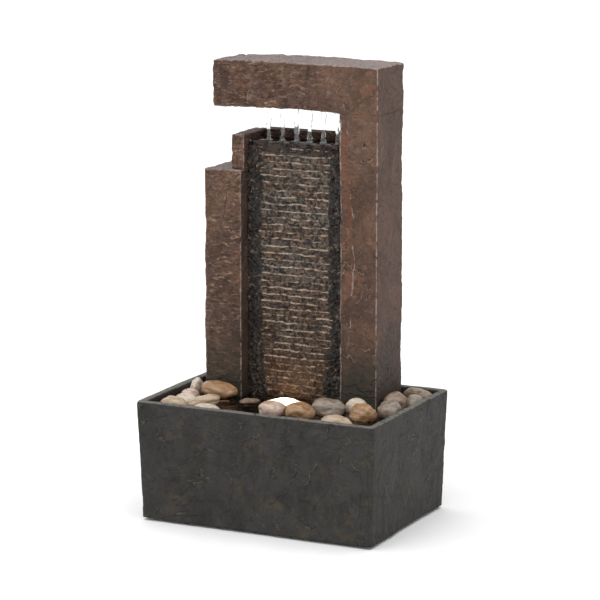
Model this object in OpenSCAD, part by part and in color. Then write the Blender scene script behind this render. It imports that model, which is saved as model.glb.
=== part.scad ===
// Tabletop water fountain: a battered basin, a hollow slate-look tower with a ribbed
// cascade, a submersible pump, a spray bar in the overhanging beam, a pool light and pebbles.
// Millimetres. +Z is up, the front faces -Y, and the origin is the middle of the resting plane.

/* [Basin] */
// Width of the basin over its rim
rim_w = 254; // [244:1:320]
// Depth of the basin over its rim
rim_d = 180; // [174:1:216]
// Height of the rim above the table
rim_h = 121; // [112:1:146]
// How far each side leans in from the rim to the base
batter = 4; // [2:0.5:6]
// Thickness of the basin's walls
basin_wall = 7; // [5:0.5:8.5]
// Thickness of the basin's floor
basin_floor = 6; // [4:0.5:8]
// Width of the ledge that carries the pebble deck
ledge_w = 5; // [4:0.5:7]
// Depth of the pebble deck's top below the rim
deck_drop = 18.5; // [12:0.5:20]
// Thickness of the pebble deck
deck_t = 3; // [2:0.5:4]

/* [Feet] */
// Height of the rubber feet
foot_h = 3; // [2:0.5:5]
// Radius of the rubber feet
foot_r = 8; // [6:0.5:10]
// Distance of each foot's middle in from the basin's base edges
foot_inset = 18; // [12:1:24]

/* [Tower] */
// Height of the tower's top above the table
tower_h = 448; // [430:1:540]
// Depth of the tower from front to back
tower_d = 62; // [60:1:68]
// Sideways offset of the tower's middle from the basin's middle
tower_shift = -12.5; // [-14:0.5:-8]
// Width of the full-height column
column_w = 41; // [39:1:46]
// Width of the bay that holds the cascade
bay_w = 107; // [95:1:110]
// Width of the short pillar
pillar_w = 41; // [32:1:44]
// Height of the short pillar's top above the table
pillar_h = 338; // [300:1:345]
// Thickness of the tower's moulded shells
shell = 5; // [4:0.5:6]
// Thickness of the plate that closes the tower's back
back_t = 5; // [4:0.5:6]
// Gap between the tower's back and the basin at the floor
back_gap = 2; // [1:0.5:4]

/* [Beam] */
// Height of the overhanging beam
beam_h = 48; // [44:1:56]
// Distance of the beam's free end in from the pillar's outer face
beam_inset = 10; // [0:1:20]
// Height of the open gap under the beam
drop_gap = 26; // [18:1:40]

/* [Cascade] */
// Width of the step block on the short pillar
step_w = 14; // [10:1:20]
// Distance of the step block behind the pillar's front
step_set = 7; // [4:1:12]
// Distance of the rib crests behind the tower's front
recess = 15.5; // [12:0.5:20]
// Vertical distance from rib to rib
rib_pitch = 7; // [5:0.5:10]
// Depth of each rib
rib_d = 2.8; // [1.5:0.1:4]
// Width of the rough rock border at each side of the ribs
border_w = 17; // [10:1:24]
// Thickness of the cascade panel behind its ribs
panel_t = 5.5; // [4:0.5:7]
// Depth of the trough over the cascade
trough_h = 12; // [10:1:18]
// Height of the trough's back wall above its front lip
trough_rise = 8; // [5:1:14]
// Wall of the trough
trough_wall = 4; // [3:0.5:5]

/* [Water feed] */
// Number of falling streams
stream_n = 6; // [4:1:6]
// Distance between streams
stream_pitch = 15; // [12:0.5:16]
// Distance of the streams behind the tower's front
stream_set = 30.8; // [28:0.2:34]
// Inner radius of the riser tube
tube_r = 5; // [4.5:0.1:6]
// Wall of the riser tube
tube_wall = 2; // [1.5:0.1:2.4]
// Outer radius of the spray bar
bar_r = 8; // [7.5:0.1:8.5]
// Wall of the spray bar
bar_wall = 1.5; // [1.2:0.1:2]
// Radius of the holes in the spray bar
jet_r = 1.2; // [0.8:0.1:1.8]
// Radius of the drip holes in the beam's underside
drip_r = 3; // [2:0.1:4]

/* [Pump] */
// Width of the pump
pump_w = 28; // [26:0.5:28.5]
// Height of the pump's body
pump_h = 36; // [32:1:44]
// Height of the pump's suction cups
cup_h = 5; // [4:0.5:7]
// Radius of the rotor's magnet
magnet_r = 7; // [6:0.1:8]
// Radius of the impeller's vanes
vane_r = 10; // [8.5:0.1:10.5]
// Number of impeller vanes
vane_n = 6; // [4:1:8]
// Radius of the rotor's shaft
shaft_r = 1.2; // [1:0.1:1.5]
// Radius of the supply cord that the pump and basin are made for
cord_r = 2.5; // [2:0.1:2.8]

/* [Pool light] */
// Outer radius of the light's body
light_r = 17; // [15:0.5:18]
// Sideways place of the light
light_x = -19; // [-28:1:-10]
// Distance of the light's middle in front of the rib crests
light_set = 20; // [19:0.5:24]
// Height of the light's body under the deck
light_depth = 22; // [18:1:30]

/* [Hidden] */
$fn = 48;
eps = 0.01;
slide_fit = 0.05;    // radial gap of a pushed or turning fit
loose_fit = 0.2;     // gap around pieces that drop into place
drop_fit = 0.5;      // gap around the deck and the light
tower_gap = 2;       // gap between the tower and the deck or ledge around it

slate_grey = [0.20, 0.20, 0.20];
rust_brown = [0.36, 0.28, 0.25];
wet_rock = [0.17, 0.15, 0.13];
black_plastic = [0.06, 0.06, 0.07];
rubber_black = [0.04, 0.04, 0.04];

// Heights
floor_z = foot_h + basin_floor;
deck_z = rim_h - deck_drop;
beam_z = tower_h - beam_h;
bay_top = beam_z - drop_gap;
lip_z = bay_top - trough_rise;
trough_z = lip_z - trough_h;

// Outer half sizes of the battered basin at a height
function lean(z) = batter * (rim_h - z) / (rim_h - foot_h);
function half_w(z) = rim_w / 2 - lean(z);
function half_d(z) = rim_d / 2 - lean(z);

// Tower outline, left to right and front to back
y_back = half_d(floor_z) - basin_wall - back_gap;
y_front = y_back - tower_d;
y_plate = y_back - back_t;
pillar_x0 = tower_shift - (pillar_w + bay_w + column_w) / 2;
bay_x0 = pillar_x0 + pillar_w;
bay_x1 = bay_x0 + bay_w;
column_x1 = bay_x1 + column_w;
beam_x0 = pillar_x0 + beam_inset;
step_z = bay_top - 1;
crest_y = y_front + recess;
panel_y = crest_y + rib_d;
bay_mid = (bay_x0 + bay_x1) / 2;

// Inside the column: riser, pump and their shared axis
riser_x = (bay_x1 + column_x1) / 2;
riser_y = y_front + stream_set;
tube_or = tube_r + tube_wall;
pump_z = floor_z + cup_h;
pump_top = pump_z + pump_h;
axis_z = pump_z + pump_h / 2 - 2;
volute_half = 6;                     // the volute lies this far before and behind the riser
grille_d = 12;
volute_y0 = riser_y - volute_half;
volute_y1 = riser_y + volute_half;
motor_y1 = y_plate - 3;
grille_y0 = volute_y0 - grille_d;
spigot_top = pump_top + 14;
spigot_r = tube_r - slide_fit;

// Spray bar in the beam
bar_z = beam_z + shell + bar_r + 6;
bend_r = 12;
bar_x1 = riser_x - bend_r;
bar_x0 = bay_mid - (stream_n - 1) / 2 * stream_pitch - 12;
bar_ir = bar_r - bar_wall;

// Pool light
light_y = crest_y - light_set;
flange_t = 1.6;
ring_lip = 1;
flange_r = light_r + 2.4;
light_foot = deck_z - deck_t - light_depth;
light_ir = light_r - 2.5;
thread_top = deck_z + flange_t + 1.2;

// Cord outlet in the back wall, in line with the pump
cord_x = riser_x;
cord_z = rim_h - 7.5;
grommet_r = cord_r + 2.6;
cord_bore = cord_r + 0.2;

screw_r = 1.4;
screw_head_r = 2.9;
screw_head_t = 1.8;
screw_l = 16;
post_r = 3.2;
post_l = 22;
// Back plate screws as [x, z]: down the column, along the beam and down the pillar
post_in = post_r - 0.2;
screws = [
    for (z = [rim_h + 30, (rim_h + beam_z) / 2 + 20, beam_z - 40])
        [column_x1 - shell - post_in, z],
    for (x = [beam_x0 + 20, bay_mid, bay_x1 + 12])
        [x, tower_h - shell - post_in],
    for (z = [rim_h + 25, (rim_h + pillar_h) / 2, pillar_h - 30])
        [pillar_x0 + shell + post_in, z]
];

module box(low, high) translate(low) cube(high - low);

module disc(r, z0, z1) translate([0, 0, z0]) cylinder(r = r, h = z1 - z0);

// A cylinder along Y from y0 to y1 at x, z
module rod_y(r, x, z, y0, y1) translate([x, y0, z]) rotate([-90, 0, 0]) cylinder(r = r, h = y1 - y0);

// A block between two heights that follows the basin's battered faces, set in by inset
module battered(z0, z1, inset) {
    w0 = half_w(z0) - inset;
    w1 = half_w(z1) - inset;
    d0 = half_d(z0) - inset;
    d1 = half_d(z1) - inset;
    intersection() {
        rotate([90, 0, 0]) linear_extrude(height = 2 * rim_d, center = true)
            polygon([[-w0, z0], [w0, z0], [w1, z1], [-w1, z1]]);
        rotate([90, 0, 90]) linear_extrude(height = 2 * rim_w, center = true)
            polygon([[-d0, z0], [d0, z0], [d1, z1], [-d1, z1]]);
    }
}

// A solid swept along points, for the light's lead
module swept(path, r, sides = 8) {
    n = len(path);
    function unit(v) = v / norm(v);
    function heading(i) = unit(path[min(i + 1, n - 1)] - path[max(i - 1, 0)]);
    rings = [
        for (i = [0:n - 1])
            let (t = heading(i),
                 u = unit(cross(t, abs(t.z) < 0.9 ? [0, 0, 1] : [1, 0, 0])),
                 v = cross(t, u))
            for (k = [0:sides - 1])
                let (a = 360 * k / sides)
                path[i] + r * (cos(a) * u + sin(a) * v)
    ];
    polyhedron(
        points = rings,
        faces = [
            [for (k = [0:sides - 1]) k],
            for (i = [0:n - 2]) for (k = [0:sides - 1])
                let (k1 = (k + 1) % sides)
                [i * sides + k, (i + 1) * sides + k, (i + 1) * sides + k1, i * sides + k1],
            [for (k = [sides - 1:-1:0]) (n - 1) * sides + k]
        ]
    );
}

// Points of a smooth curve through the given ones, with steps between each pair
function through(p, steps) = [
    for (i = [0:len(p) - 2]) for (s = [0:steps - 1])
        let (a = p[max(i - 1, 0)], b = p[i], c = p[i + 1], d = p[min(i + 2, len(p) - 1)], t = s / steps)
        0.5 * (2 * b + (c - a) * t + (2 * a - 5 * b + 4 * c - d) * t * t
               + (3 * b - a - 3 * c + d) * t * t * t),
    p[len(p) - 1]
];

// ---------------------------------------------------------------- basin

ledge_z = deck_z - deck_t;

module basin() color(slate_grey) difference() {
    union() {
        difference() {
            battered(foot_h, rim_h, 0);
            battered(floor_z, rim_h + 1, basin_wall);
        }
        // ledge that carries the pebble deck, left out where the tower stands
        difference() {
            battered(floor_z - 1, ledge_z, basin_wall - 1);
            battered(floor_z - 2, ledge_z + 1, basin_wall + ledge_w);
            box([pillar_x0 - tower_gap, y_front, 0], [column_x1 + tower_gap, rim_d, rim_h]);
        }
    }
    // notch for the cord grommet
    box([cord_x - grommet_r, y_back, cord_z - grommet_r], [cord_x + grommet_r, rim_d, rim_h + 1]);
}

module feet() color(rubber_black)
    for (sx = [-1, 1], sy = [-1, 1])
        translate([sx * (half_w(foot_h) - foot_inset), sy * (half_d(foot_h) - foot_inset), 0])
            rotate_extrude()
                polygon([[0, 0], [foot_r - 1, 0], [foot_r, 1], [foot_r, foot_h], [0, foot_h]]);

module cord_grommet() color(rubber_black) {
    y_in = half_d(cord_z) - basin_wall;
    y_out = half_d(rim_h) - lean(cord_z) - 0.8;
    flange = 1.6;
    difference() {
        union() {
            box([cord_x - grommet_r + loose_fit, y_in - 1, cord_z - grommet_r + loose_fit],
                [cord_x + grommet_r - loose_fit, y_out, rim_h - 0.5]);
            rod_y(grommet_r + 1.4, cord_x, cord_z, y_in - 1 - flange, y_in - 1);
        }
        rod_y(cord_bore, cord_x, cord_z, y_in - 10, y_out + 10);
    }
}

// ---------------------------------------------------------------- pebble deck

deck_y1 = y_front - tower_gap;       // the deck's edge in front of the tower
tongue_y1 = crest_y - 1.5;           // the deck's edge at the foot of the cascade
slot_w = 5;
slot_l = 30;
slot_pitch = 14;
deck_leg = 4;                        // half the width of a deck leg

// Two rows of drain slots across the deck
module deck_slots() {
    n = floor((half_w(deck_z) - basin_wall - ledge_w - 4) / slot_pitch);
    for (i = [-n:n], row = [0, 1])
        let (x = i * slot_pitch, y = -half_d(deck_z) + basin_wall + ledge_w + 5 + row * (slot_l + 7))
        if (row == 0 || norm([x - light_x, max(0, light_y - y - slot_l)]) > light_r + 7)
            box([x - slot_w / 2, y, deck_z - deck_t - 1], [x + slot_w / 2, y + slot_l, deck_z + 1]);
}

module pebble_deck() color(black_plastic) {
    w = half_w(deck_z - deck_t) - basin_wall - drop_fit;
    d = half_d(deck_z - deck_t) - basin_wall - drop_fit;
    difference() {
        union() {
            difference() {
                box([-w, -d, deck_z - deck_t], [w, d, deck_z]);
                // room for the tower
                box([pillar_x0 - tower_gap, deck_y1, deck_z - deck_t - 1],
                    [column_x1 + tower_gap, d + 1, deck_z + 1]);
            }
            box([bay_x0 + 3, deck_y1 - eps, deck_z - deck_t], [bay_x1 - 3, tongue_y1, deck_z]);
            // legs under the edge in front of the tower
            for (x = [pillar_x0 + 12, light_x - light_r - 18, bay_x1 + 6, column_x1 + 21])
                box([x - deck_leg, deck_y1 - 2 * deck_leg, floor_z],
                    [x + deck_leg, deck_y1, deck_z - deck_t + eps]);
        }
        deck_slots();
        translate([light_x, light_y, 0]) disc(light_r + drop_fit, deck_z - deck_t - 1, deck_z + 1);
    }
}

// ---------------------------------------------------------------- tower shells

// The outline of the back plate, just inside the shells
plate_outline = [
    [pillar_x0 + shell, floor_z], [column_x1 - shell, floor_z],
    [column_x1 - shell, tower_h - shell], [beam_x0 + shell, tower_h - shell],
    [beam_x0 + shell, beam_z + shell], [bay_x1 + shell, beam_z + shell],
    [bay_x1 + shell, bay_top], [bay_x0, bay_top],
    [bay_x0, pillar_h - shell], [pillar_x0 + shell, pillar_h - shell]
];

module plate_blank(y0, y1) translate([0, y1, 0]) rotate([90, 0, 0])
    linear_extrude(height = y1 - y0) polygon(plate_outline);

// Screw posts that lie on a shell's wall, for the screws numbered from i0 to i1
module posts(i0, i1) for (i = [i0:i1]) rod_y(post_r, screws[i].x, screws[i].y, y_plate - post_l, y_plate);

module pilot_holes(i0, i1) for (i = [i0:i1])
    rod_y(screw_r + 0.1, screws[i].x, screws[i].y, y_plate - screw_l, y_back);

inlet_h = pump_top - floor_z + 18;

module column() color(rust_brown) difference() {
    union() {
        difference() {
            box([bay_x1, y_front, floor_z], [column_x1, y_back, beam_z]);
            box([bay_x1 + shell, y_front + shell, floor_z - 1],
                [column_x1 - shell, y_back + 1, beam_z + 1]);
            plate_blank(y_plate, y_back + 1);
            // inlet arches to the pump, open at the foot
            box([bay_x1 - 1, y_front + shell + 2, floor_z - 1],
                [bay_x1 + shell + 1, panel_y - 1, floor_z + inlet_h]);
            box([bay_x1 + shell + 5, y_front - 1, floor_z - 1],
                [column_x1 - shell - 5, y_front + shell + 1, floor_z + 30]);
        }
        posts(0, 2);
    }
    pilot_holes(0, 2);
}

module beam() color(rust_brown) difference() {
    union() {
        difference() {
            box([beam_x0, y_front, beam_z], [column_x1, y_back, tower_h]);
            box([beam_x0 + shell, y_front + shell, beam_z + shell],
                [column_x1 - shell, y_back + 1, tower_h - shell]);
            plate_blank(y_plate, y_back + 1);
            for (i = [0:stream_n - 1])
                translate([stream_x(i), riser_y, 0]) disc(drip_r, beam_z - 1, beam_z + shell + 1);
            translate([riser_x, riser_y, 0]) disc(tube_or + drop_fit, beam_z - 1, beam_z + shell + 1);
        }
        posts(3, 5);
    }
    pilot_holes(3, 5);
}

function stream_x(i) = bay_mid + (i - (stream_n - 1) / 2) * stream_pitch;

module pillar() color(rust_brown) difference() {
    union() {
        difference() {
            box([pillar_x0, y_front, floor_z], [bay_x0, y_back, pillar_h]);
            box([pillar_x0 + shell, y_front + shell, floor_z - 1],
                [bay_x0 - shell, y_back + 1, pillar_h - shell]);
            plate_blank(y_plate, y_back + 1);
        }
        posts(6, 8);
    }
    pilot_holes(6, 8);
}

module pillar_step() color(rust_brown)
    box([bay_x0 - step_w, y_front + step_set, pillar_h], [bay_x0, y_back, step_z]);

module back_plate() color(rust_brown) difference() {
    plate_blank(y_plate, y_back);
    pilot_holes(0, len(screws) - 1);
    for (s = screws) rod_y(screw_head_r + loose_fit, s.x, s.y, y_back - screw_head_t - 0.3, y_back + 1);
    // slot that lets the tower lift off over the supply cord
    box([cord_x - cord_r - 1.5, y_plate - 1, floor_z - 1],
        [cord_x + cord_r + 1.5, y_back + 1, cord_z]);
    rod_y(cord_r + 1.5, cord_x, cord_z, y_plate - 1, y_back + 1);
}

module back_screws() color("silver") for (s = screws) {
    rod_y(screw_head_r, s.x, s.y, y_back - screw_head_t - 0.1, y_back - 0.1);
    rod_y(screw_r, s.x, s.y, y_plate - screw_l + 2, y_back - screw_head_t);
}

// ---------------------------------------------------------------- cascade

// A repeatable number from 0 to 1 for a rock's place
function rock(i) = abs(sin(i * 127.1 + 31.7)) * 0.6 + abs(sin(i * 53.3)) * 0.4;

module cascade_panel() color(wet_rock) {
    rib_n = floor((trough_z - deck_z) / rib_pitch);
    rib_z0 = trough_z - rib_n * rib_pitch;
    rib_x0 = bay_x0 + border_w;
    rib_x1 = bay_x1 - border_w;
    arch_w = 18;
    difference() {
        box([bay_x0, panel_y, floor_z], [bay_x1, panel_y + panel_t, trough_z]);
        for (x = [bay_mid - 32, bay_mid, bay_mid + 32])
            box([x - arch_w / 2, panel_y - 1, floor_z - 1],
                [x + arch_w / 2, panel_y + panel_t + 1, floor_z + 28]);
    }
    // ribs: each ledge stands out at its top and falls back below
    translate([rib_x1, 0, 0]) rotate([90, 0, -90]) linear_extrude(height = rib_x1 - rib_x0)
        polygon([
            [-panel_y - 0.5, rib_z0],
            for (i = [0:rib_n - 1]) each [
                [-panel_y + 0.4, rib_z0 + i * rib_pitch],
                [-panel_y + rib_d, rib_z0 + (i + 0.7) * rib_pitch],
                [-panel_y + rib_d, rib_z0 + (i + 0.98) * rib_pitch]
            ],
            [-panel_y - 0.5, trough_z]
        ]);
    // rough rock borders
    rock_h = rib_pitch * 2;
    rock_n = floor((trough_z - deck_z) / rock_h);
    for (i = [0:rock_n - 1], side = [0, 1])
        let (out = rib_d + 0.5 + 2.6 * rock(i + side * 40),
             z = trough_z - (i + 1) * rock_h,
             w = border_w * (0.86 + 0.14 * rock(i * 3 + side)))
        box([side == 0 ? bay_x0 : bay_x1 - w, panel_y - out, z],
            [side == 0 ? bay_x0 + w : bay_x1, panel_y + eps, z + rock_h]);
}

module trough() color(wet_rock) difference() {
    front = crest_y - 1;
    union() {
        box([bay_x0, front, trough_z], [bay_x1, y_plate, lip_z]);
        box([bay_x0, y_plate - trough_wall, lip_z - eps], [bay_x1, y_plate, bay_top]);
    }
    box([bay_x0 + trough_wall, front + trough_wall, trough_z + 3],
        [bay_x1 - trough_wall, y_plate - trough_wall, bay_top + 1]);
    // the front lip is worn down between the side walls, so that water leaves over it
    box([bay_x0 + trough_wall, front - 1, lip_z - 1],
        [bay_x1 - trough_wall, front + trough_wall + 1, bay_top + 1]);
}

// ---------------------------------------------------------------- water feed

module riser_tube() color([0.8, 0.85, 0.85, 0.6]) translate([riser_x, riser_y, 0]) difference() {
    disc(tube_or, pump_top + 3, bar_z - bend_r);
    disc(tube_r, pump_top, bar_z);
}

module hose_clips() color("silver") for (z = [pump_top + 6, beam_z - 9])
    translate([riser_x, riser_y, z]) {
        ear = 3;
        difference() {
            union() {
                cylinder(r = tube_or + 1, h = 5);
                translate([-ear / 2, tube_or, 0]) cube([ear, 3, 5]);
            }
            translate([0, 0, -1]) cylinder(r = tube_or + slide_fit, h = 7);
        }
    }

elbow_bore = 3.6;
elbow_plug = 12;                     // how far the elbow goes into the tube and the bar

// A right-angled elbow with a spigot down into the tube and one along into the bar
module elbow() color(black_plastic) translate([riser_x, riser_y, bar_z]) difference() {
    union() {
        sphere(bar_r);
        disc(bar_r, -bend_r, 0);
        disc(spigot_r, -bend_r - elbow_plug, 0);
        rotate([0, -90, 0]) disc(bar_r, 0, bend_r);
        rotate([0, -90, 0]) disc(bar_ir - slide_fit, 0, bend_r + elbow_plug);
    }
    sphere(elbow_bore);
    disc(elbow_bore, -bend_r - elbow_plug - 1, 0);
    rotate([0, -90, 0]) disc(elbow_bore, 0, bend_r + elbow_plug + 1);
}

module spray_bar() color(black_plastic) difference() {
    translate([bar_x0, riser_y, bar_z]) rotate([0, 90, 0]) cylinder(r = bar_r, h = bar_x1 - bar_x0);
    translate([bar_x0 - 1, riser_y, bar_z]) rotate([0, 90, 0])
        cylinder(r = bar_ir, h = bar_x1 - bar_x0 + 2);
    for (i = [0:stream_n - 1])
        translate([stream_x(i), riser_y, 0]) disc(jet_r, bar_z - bar_r - 1, bar_z - bar_ir + 1.5);
}

module bar_cap() color(black_plastic) translate([bar_x0, riser_y, bar_z]) rotate([0, -90, 0]) {
    cylinder(r = bar_r, h = 3);
    translate([0, 0, -8]) cylinder(r = bar_ir - slide_fit, h = 8 + eps);
}

module bar_clips() color(black_plastic) for (x = [bar_x0 + 4, stream_x(stream_n - 1) + 9]) {
    clip_w = 5;
    clip_r = bar_r + 2.2;
    difference() {
        union() {
            translate([x, riser_y, bar_z]) rotate([0, 90, 0]) cylinder(r = clip_r, h = clip_w);
            box([x, riser_y - clip_r, beam_z + shell], [x + clip_w, riser_y + clip_r, bar_z]);
        }
        translate([x - 1, riser_y, bar_z]) rotate([0, 90, 0])
            cylinder(r = bar_r + slide_fit, h = clip_w + 2);
        // mouth that the bar snaps in through
        box([x - 1, riser_y - bar_r * 0.75, bar_z + 3],
            [x + clip_w + 1, riser_y + bar_r * 0.75, bar_z + 30]);
    }
}

// ---------------------------------------------------------------- pump

// A block across the pump's whole section
module pump_block(y0, y1) box([riser_x - pump_w / 2, y0, pump_z], [riser_x + pump_w / 2, y1, pump_top]);

well_r = magnet_r + 0.8;
chamber_r = vane_r + 1.2;
gasket_t = 1;
bush_r = 3;
bush_l = 2;
core_y0 = volute_y1 + gasket_t + 3;
core_y1 = motor_y1 - 5;
core_in = well_r + 1.2;              // from the rotor's axis to the stator's legs
core_out = pump_w / 2 - 1.6;
core_top = pump_top - 6;
core_yoke = 3.6;
coil_w = 13;
pump_screw = [pump_w / 2 - 4, pump_h / 2 - 3.5];

// The four places of the pump's screws, as children at x, z
module at_pump_screws() for (sx = [-1, 1], sz = [-1, 1])
    translate([riser_x + sx * pump_screw.x, 0, pump_z + pump_h / 2 + sz * pump_screw.y]) children();

// Windows around the rotor's axis, through a wall between y0 and y1
module windows(y0, y1) for (a = [0, 120, 240]) translate([riser_x, 0, axis_z]) rotate([0, a, 0])
    box([-2.6, y0, 4.2], [2.6, y1, 9]);

// The stator's legs stand at both sides of the rotor, and its yoke runs over it
module stator_core() color([0.45, 0.45, 0.47]) {
    for (side = [-1, 1]) translate([riser_x + side * (core_in + core_out) / 2, 0, 0])
        box([-(core_out - core_in) / 2, core_y0, axis_z - 7],
            [(core_out - core_in) / 2, core_y1, core_top]);
    box([riser_x - core_in - eps, core_y0, core_top - core_yoke],
        [riser_x + core_in + eps, core_y1, core_top]);
}

module stator_coil() color([0.72, 0.42, 0.20]) difference() {
    coil_block(0);
    box([riser_x - core_out, core_y0 - slide_fit, core_top - core_yoke - slide_fit],
        [riser_x + core_out, core_y1 + slide_fit, core_top + slide_fit]);
}

module coil_block(grow) box(
    [riser_x - coil_w / 2 - grow, core_y0 - 1.4 - grow, core_top - core_yoke - 1.4 - grow],
    [riser_x + coil_w / 2 + grow, core_y1 + 1.4 + grow, core_top + 1.4 + grow]
);

module pump_housing() color(black_plastic) difference() {
    union() {
        pump_block(volute_y1 + gasket_t, motor_y1);
        // gland for the supply cord, on the back half of the top
        translate([riser_x, (volute_y1 + motor_y1) / 2 + 3, 0])
            disc(cord_r + 2, pump_top - eps, pump_top + 5);
        // gland for the light's lead
        translate([lead_end.x, lead_end.y, 0]) disc(3, pump_top - eps, pump_top + 3);
    }
    rod_y(well_r, riser_x, axis_z, volute_y1, motor_y1 - 3);
    rod_y(bush_r, riser_x, axis_z, volute_y1, motor_y1 - 1);
    // potted spaces of the stator
    coil_block(slide_fit);
    for (side = [-1, 1]) translate([riser_x + side * (core_in + core_out) / 2, 0, 0])
        box([-(core_out - core_in) / 2 - slide_fit, core_y0 - slide_fit, axis_z - 7 - slide_fit],
            [(core_out - core_in) / 2 + slide_fit, core_y1 + slide_fit, core_top + slide_fit]);
    box([riser_x - core_in, core_y0 - slide_fit, core_top - core_yoke - slide_fit],
        [riser_x + core_in, core_y1 + slide_fit, core_top + slide_fit]);
    at_pump_screws() rod_y(pump_screw_r + 0.05, 0, 0, volute_y1, volute_y1 + gasket_t + 9);
    translate([riser_x, (volute_y1 + motor_y1) / 2 + 3, 0]) disc(cord_bore, pump_top - 2, pump_top + 6);
    translate([lead_end.x, lead_end.y, 0]) disc(lead_r + 2 * slide_fit, pump_top, pump_top + 4);
}

module pump_gasket() color(rubber_black) difference() {
    rod_y(chamber_r + 1.6, riser_x, axis_z, volute_y1, volute_y1 + gasket_t);
    rod_y(well_r + 1, riser_x, axis_z, volute_y1 - 1, volute_y1 + gasket_t + 1);
}

module pump_volute() color(black_plastic) difference() {
    union() {
        pump_block(volute_y0, volute_y1);
        translate([riser_x, riser_y, 0]) disc(spigot_r, pump_top - eps, spigot_top);
    }
    rod_y(chamber_r, riser_x, axis_z, volute_y0 + 3, volute_y1 + 1);
    rod_y(bush_r, riser_x, axis_z, volute_y0 + 1, volute_y0 + 4);
    windows(volute_y0 - 1, volute_y0 + 4);
    at_pump_screws() rod_y(pump_screw_r + 0.1, 0, 0, volute_y0 - 1, volute_y1 + 1);
    translate([riser_x, riser_y, 0]) disc(tube_r - 1.6, axis_z, spigot_top + 1);
}

dial_r = 11;
dial_pin_r = 2;

module pump_grille() color(black_plastic) difference() {
    pump_block(grille_y0, volute_y0);
    box([riser_x - pump_w / 2 + 2, grille_y0 + 2, pump_z + 2],
        [riser_x + pump_w / 2 - 2, volute_y0 + 1, pump_top - 2]);
    // intake windows behind the dial, and the dial's pivot hole
    windows(grille_y0 - 1, grille_y0 + 3);
    rod_y(dial_pin_r + slide_fit, riser_x, axis_z, grille_y0 - 1, grille_y0 + 3);
    // side slots
    for (side = [-1, 1], i = [0:3])
        translate([riser_x + side * pump_w / 2, grille_y0 + grille_d / 2, pump_z + 7 + i * 7])
            cube([6, 6, 3], center = true);
}

module flow_dial() color([0.85, 0.45, 0.1]) difference() {
    union() {
        rod_y(dial_r, riser_x, axis_z, grille_y0 - 2.2, grille_y0 - loose_fit);
        rod_y(dial_pin_r, riser_x, axis_z, grille_y0 - 1, grille_y0 + 4);
        // finger lever
        box([riser_x - 1.5, grille_y0 - 4.5, axis_z - dial_r + 0.5],
            [riser_x + 1.5, grille_y0 - 1, axis_z - 2.5]);
    }
    windows(grille_y0 - 5, grille_y0 + 1);
}

pump_screw_r = 1;

// Screws that hold the volute to the housing, with their heads inside the grille
module pump_screws() color("silver") at_pump_screws() {
    rod_y(1.5, 0, 0, volute_y0 - 1.4, volute_y0);
    rod_y(pump_screw_r, 0, 0, volute_y0 - 0.1, volute_y1 + gasket_t + 8);
}

// Faces of the two bushes that the shaft goes into
bush_front = volute_y0 + 1 + bush_l;
bush_back = motor_y1 - 1 - bush_l;

module pump_shaft() color("white")
    rod_y(shaft_r, riser_x, axis_z, bush_front - 1.4, bush_back + 1.4);

module shaft_bushes() color(rubber_black) {
    difference() {
        rod_y(bush_r - slide_fit, riser_x, axis_z, bush_front - bush_l, bush_front);
        rod_y(shaft_r + slide_fit, riser_x, axis_z, bush_front - 1.5, bush_front + 1);
    }
    difference() {
        rod_y(bush_r - slide_fit, riser_x, axis_z, bush_back, bush_back + bush_l);
        rod_y(shaft_r + slide_fit, riser_x, axis_z, bush_back - 1, bush_back + 1.5);
    }
}

rotor_y0 = volute_y0 + 4;
hub_y1 = volute_y1 + gasket_t + 1;

module impeller() color("white") difference() {
    union() {
        rod_y(3.2, riser_x, axis_z, rotor_y0, hub_y1);
        for (i = [0:vane_n - 1]) translate([riser_x, 0, axis_z]) rotate([0, i * 360 / vane_n, 0])
            box([-0.6, rotor_y0, 2], [0.6, rotor_y0 + 6, vane_r]);
        rod_y(magnet_r - 0.5, riser_x, axis_z, hub_y1 - 1.5, hub_y1);
    }
    rod_y(shaft_r + slide_fit, riser_x, axis_z, rotor_y0 - 1, hub_y1 + 1);
}

module rotor_magnet() color([0.25, 0.25, 0.27]) difference() {
    rod_y(magnet_r, riser_x, axis_z, hub_y1, motor_y1 - 4);
    rod_y(shaft_r + slide_fit, riser_x, axis_z, hub_y1 - 1, motor_y1 - 3);
}

module pump_cups() color(rubber_black)
    for (sx = [-1, 1], y = [volute_y0 + 4, motor_y1 - 6])
        translate([riser_x + sx * (pump_w / 2 - 6), y, floor_z]) rotate_extrude()
            polygon([[0, 1.6], [3, 1], [5.4, 0], [5.6, 0.5], [3.4, cup_h - 1.6], [2, cup_h - 1.4],
                     [2, cup_h], [0, cup_h]]);

// ---------------------------------------------------------------- pool light

module at_light() translate([light_x, light_y, 0]) children();

module light_housing() color(black_plastic) at_light() difference() {
    union() {
        disc(light_r, light_foot, thread_top);
        disc(flange_r, deck_z, deck_z + flange_t);
        // gland for the lead, facing the pump
        translate([light_r - 1, 0, light_foot + 7]) rotate([0, 90, 0]) cylinder(r = 3, h = 4);
    }
    disc(light_ir, light_foot + 3, thread_top + 1);
    translate([light_r - 4, 0, light_foot + 7]) rotate([0, 90, 0])
        cylinder(r = lead_r + 2 * slide_fit, h = 8);
}

bulb_r = 4.4;
bulb_top = thread_top - 6.4;

module light_bulb() color([1, 0.95, 0.8]) at_light() {
    // ceramic base and glass capsule
    translate([-5, -3.5, light_foot + 3]) cube([10, 7, 5]);
    disc(bulb_r, light_foot + 8 - eps, bulb_top - bulb_r);
    translate([0, 0, bulb_top - bulb_r]) sphere(bulb_r);
}

module light_reflector() color("silver") at_light() rotate_extrude()
    polygon([[5.4, light_foot + 8], [6.4, light_foot + 8], [light_ir - 0.2, thread_top - 1.5],
             [light_ir - 0.2, thread_top - 0.5], [light_ir - 1.4, thread_top - 0.5]]);

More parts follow.
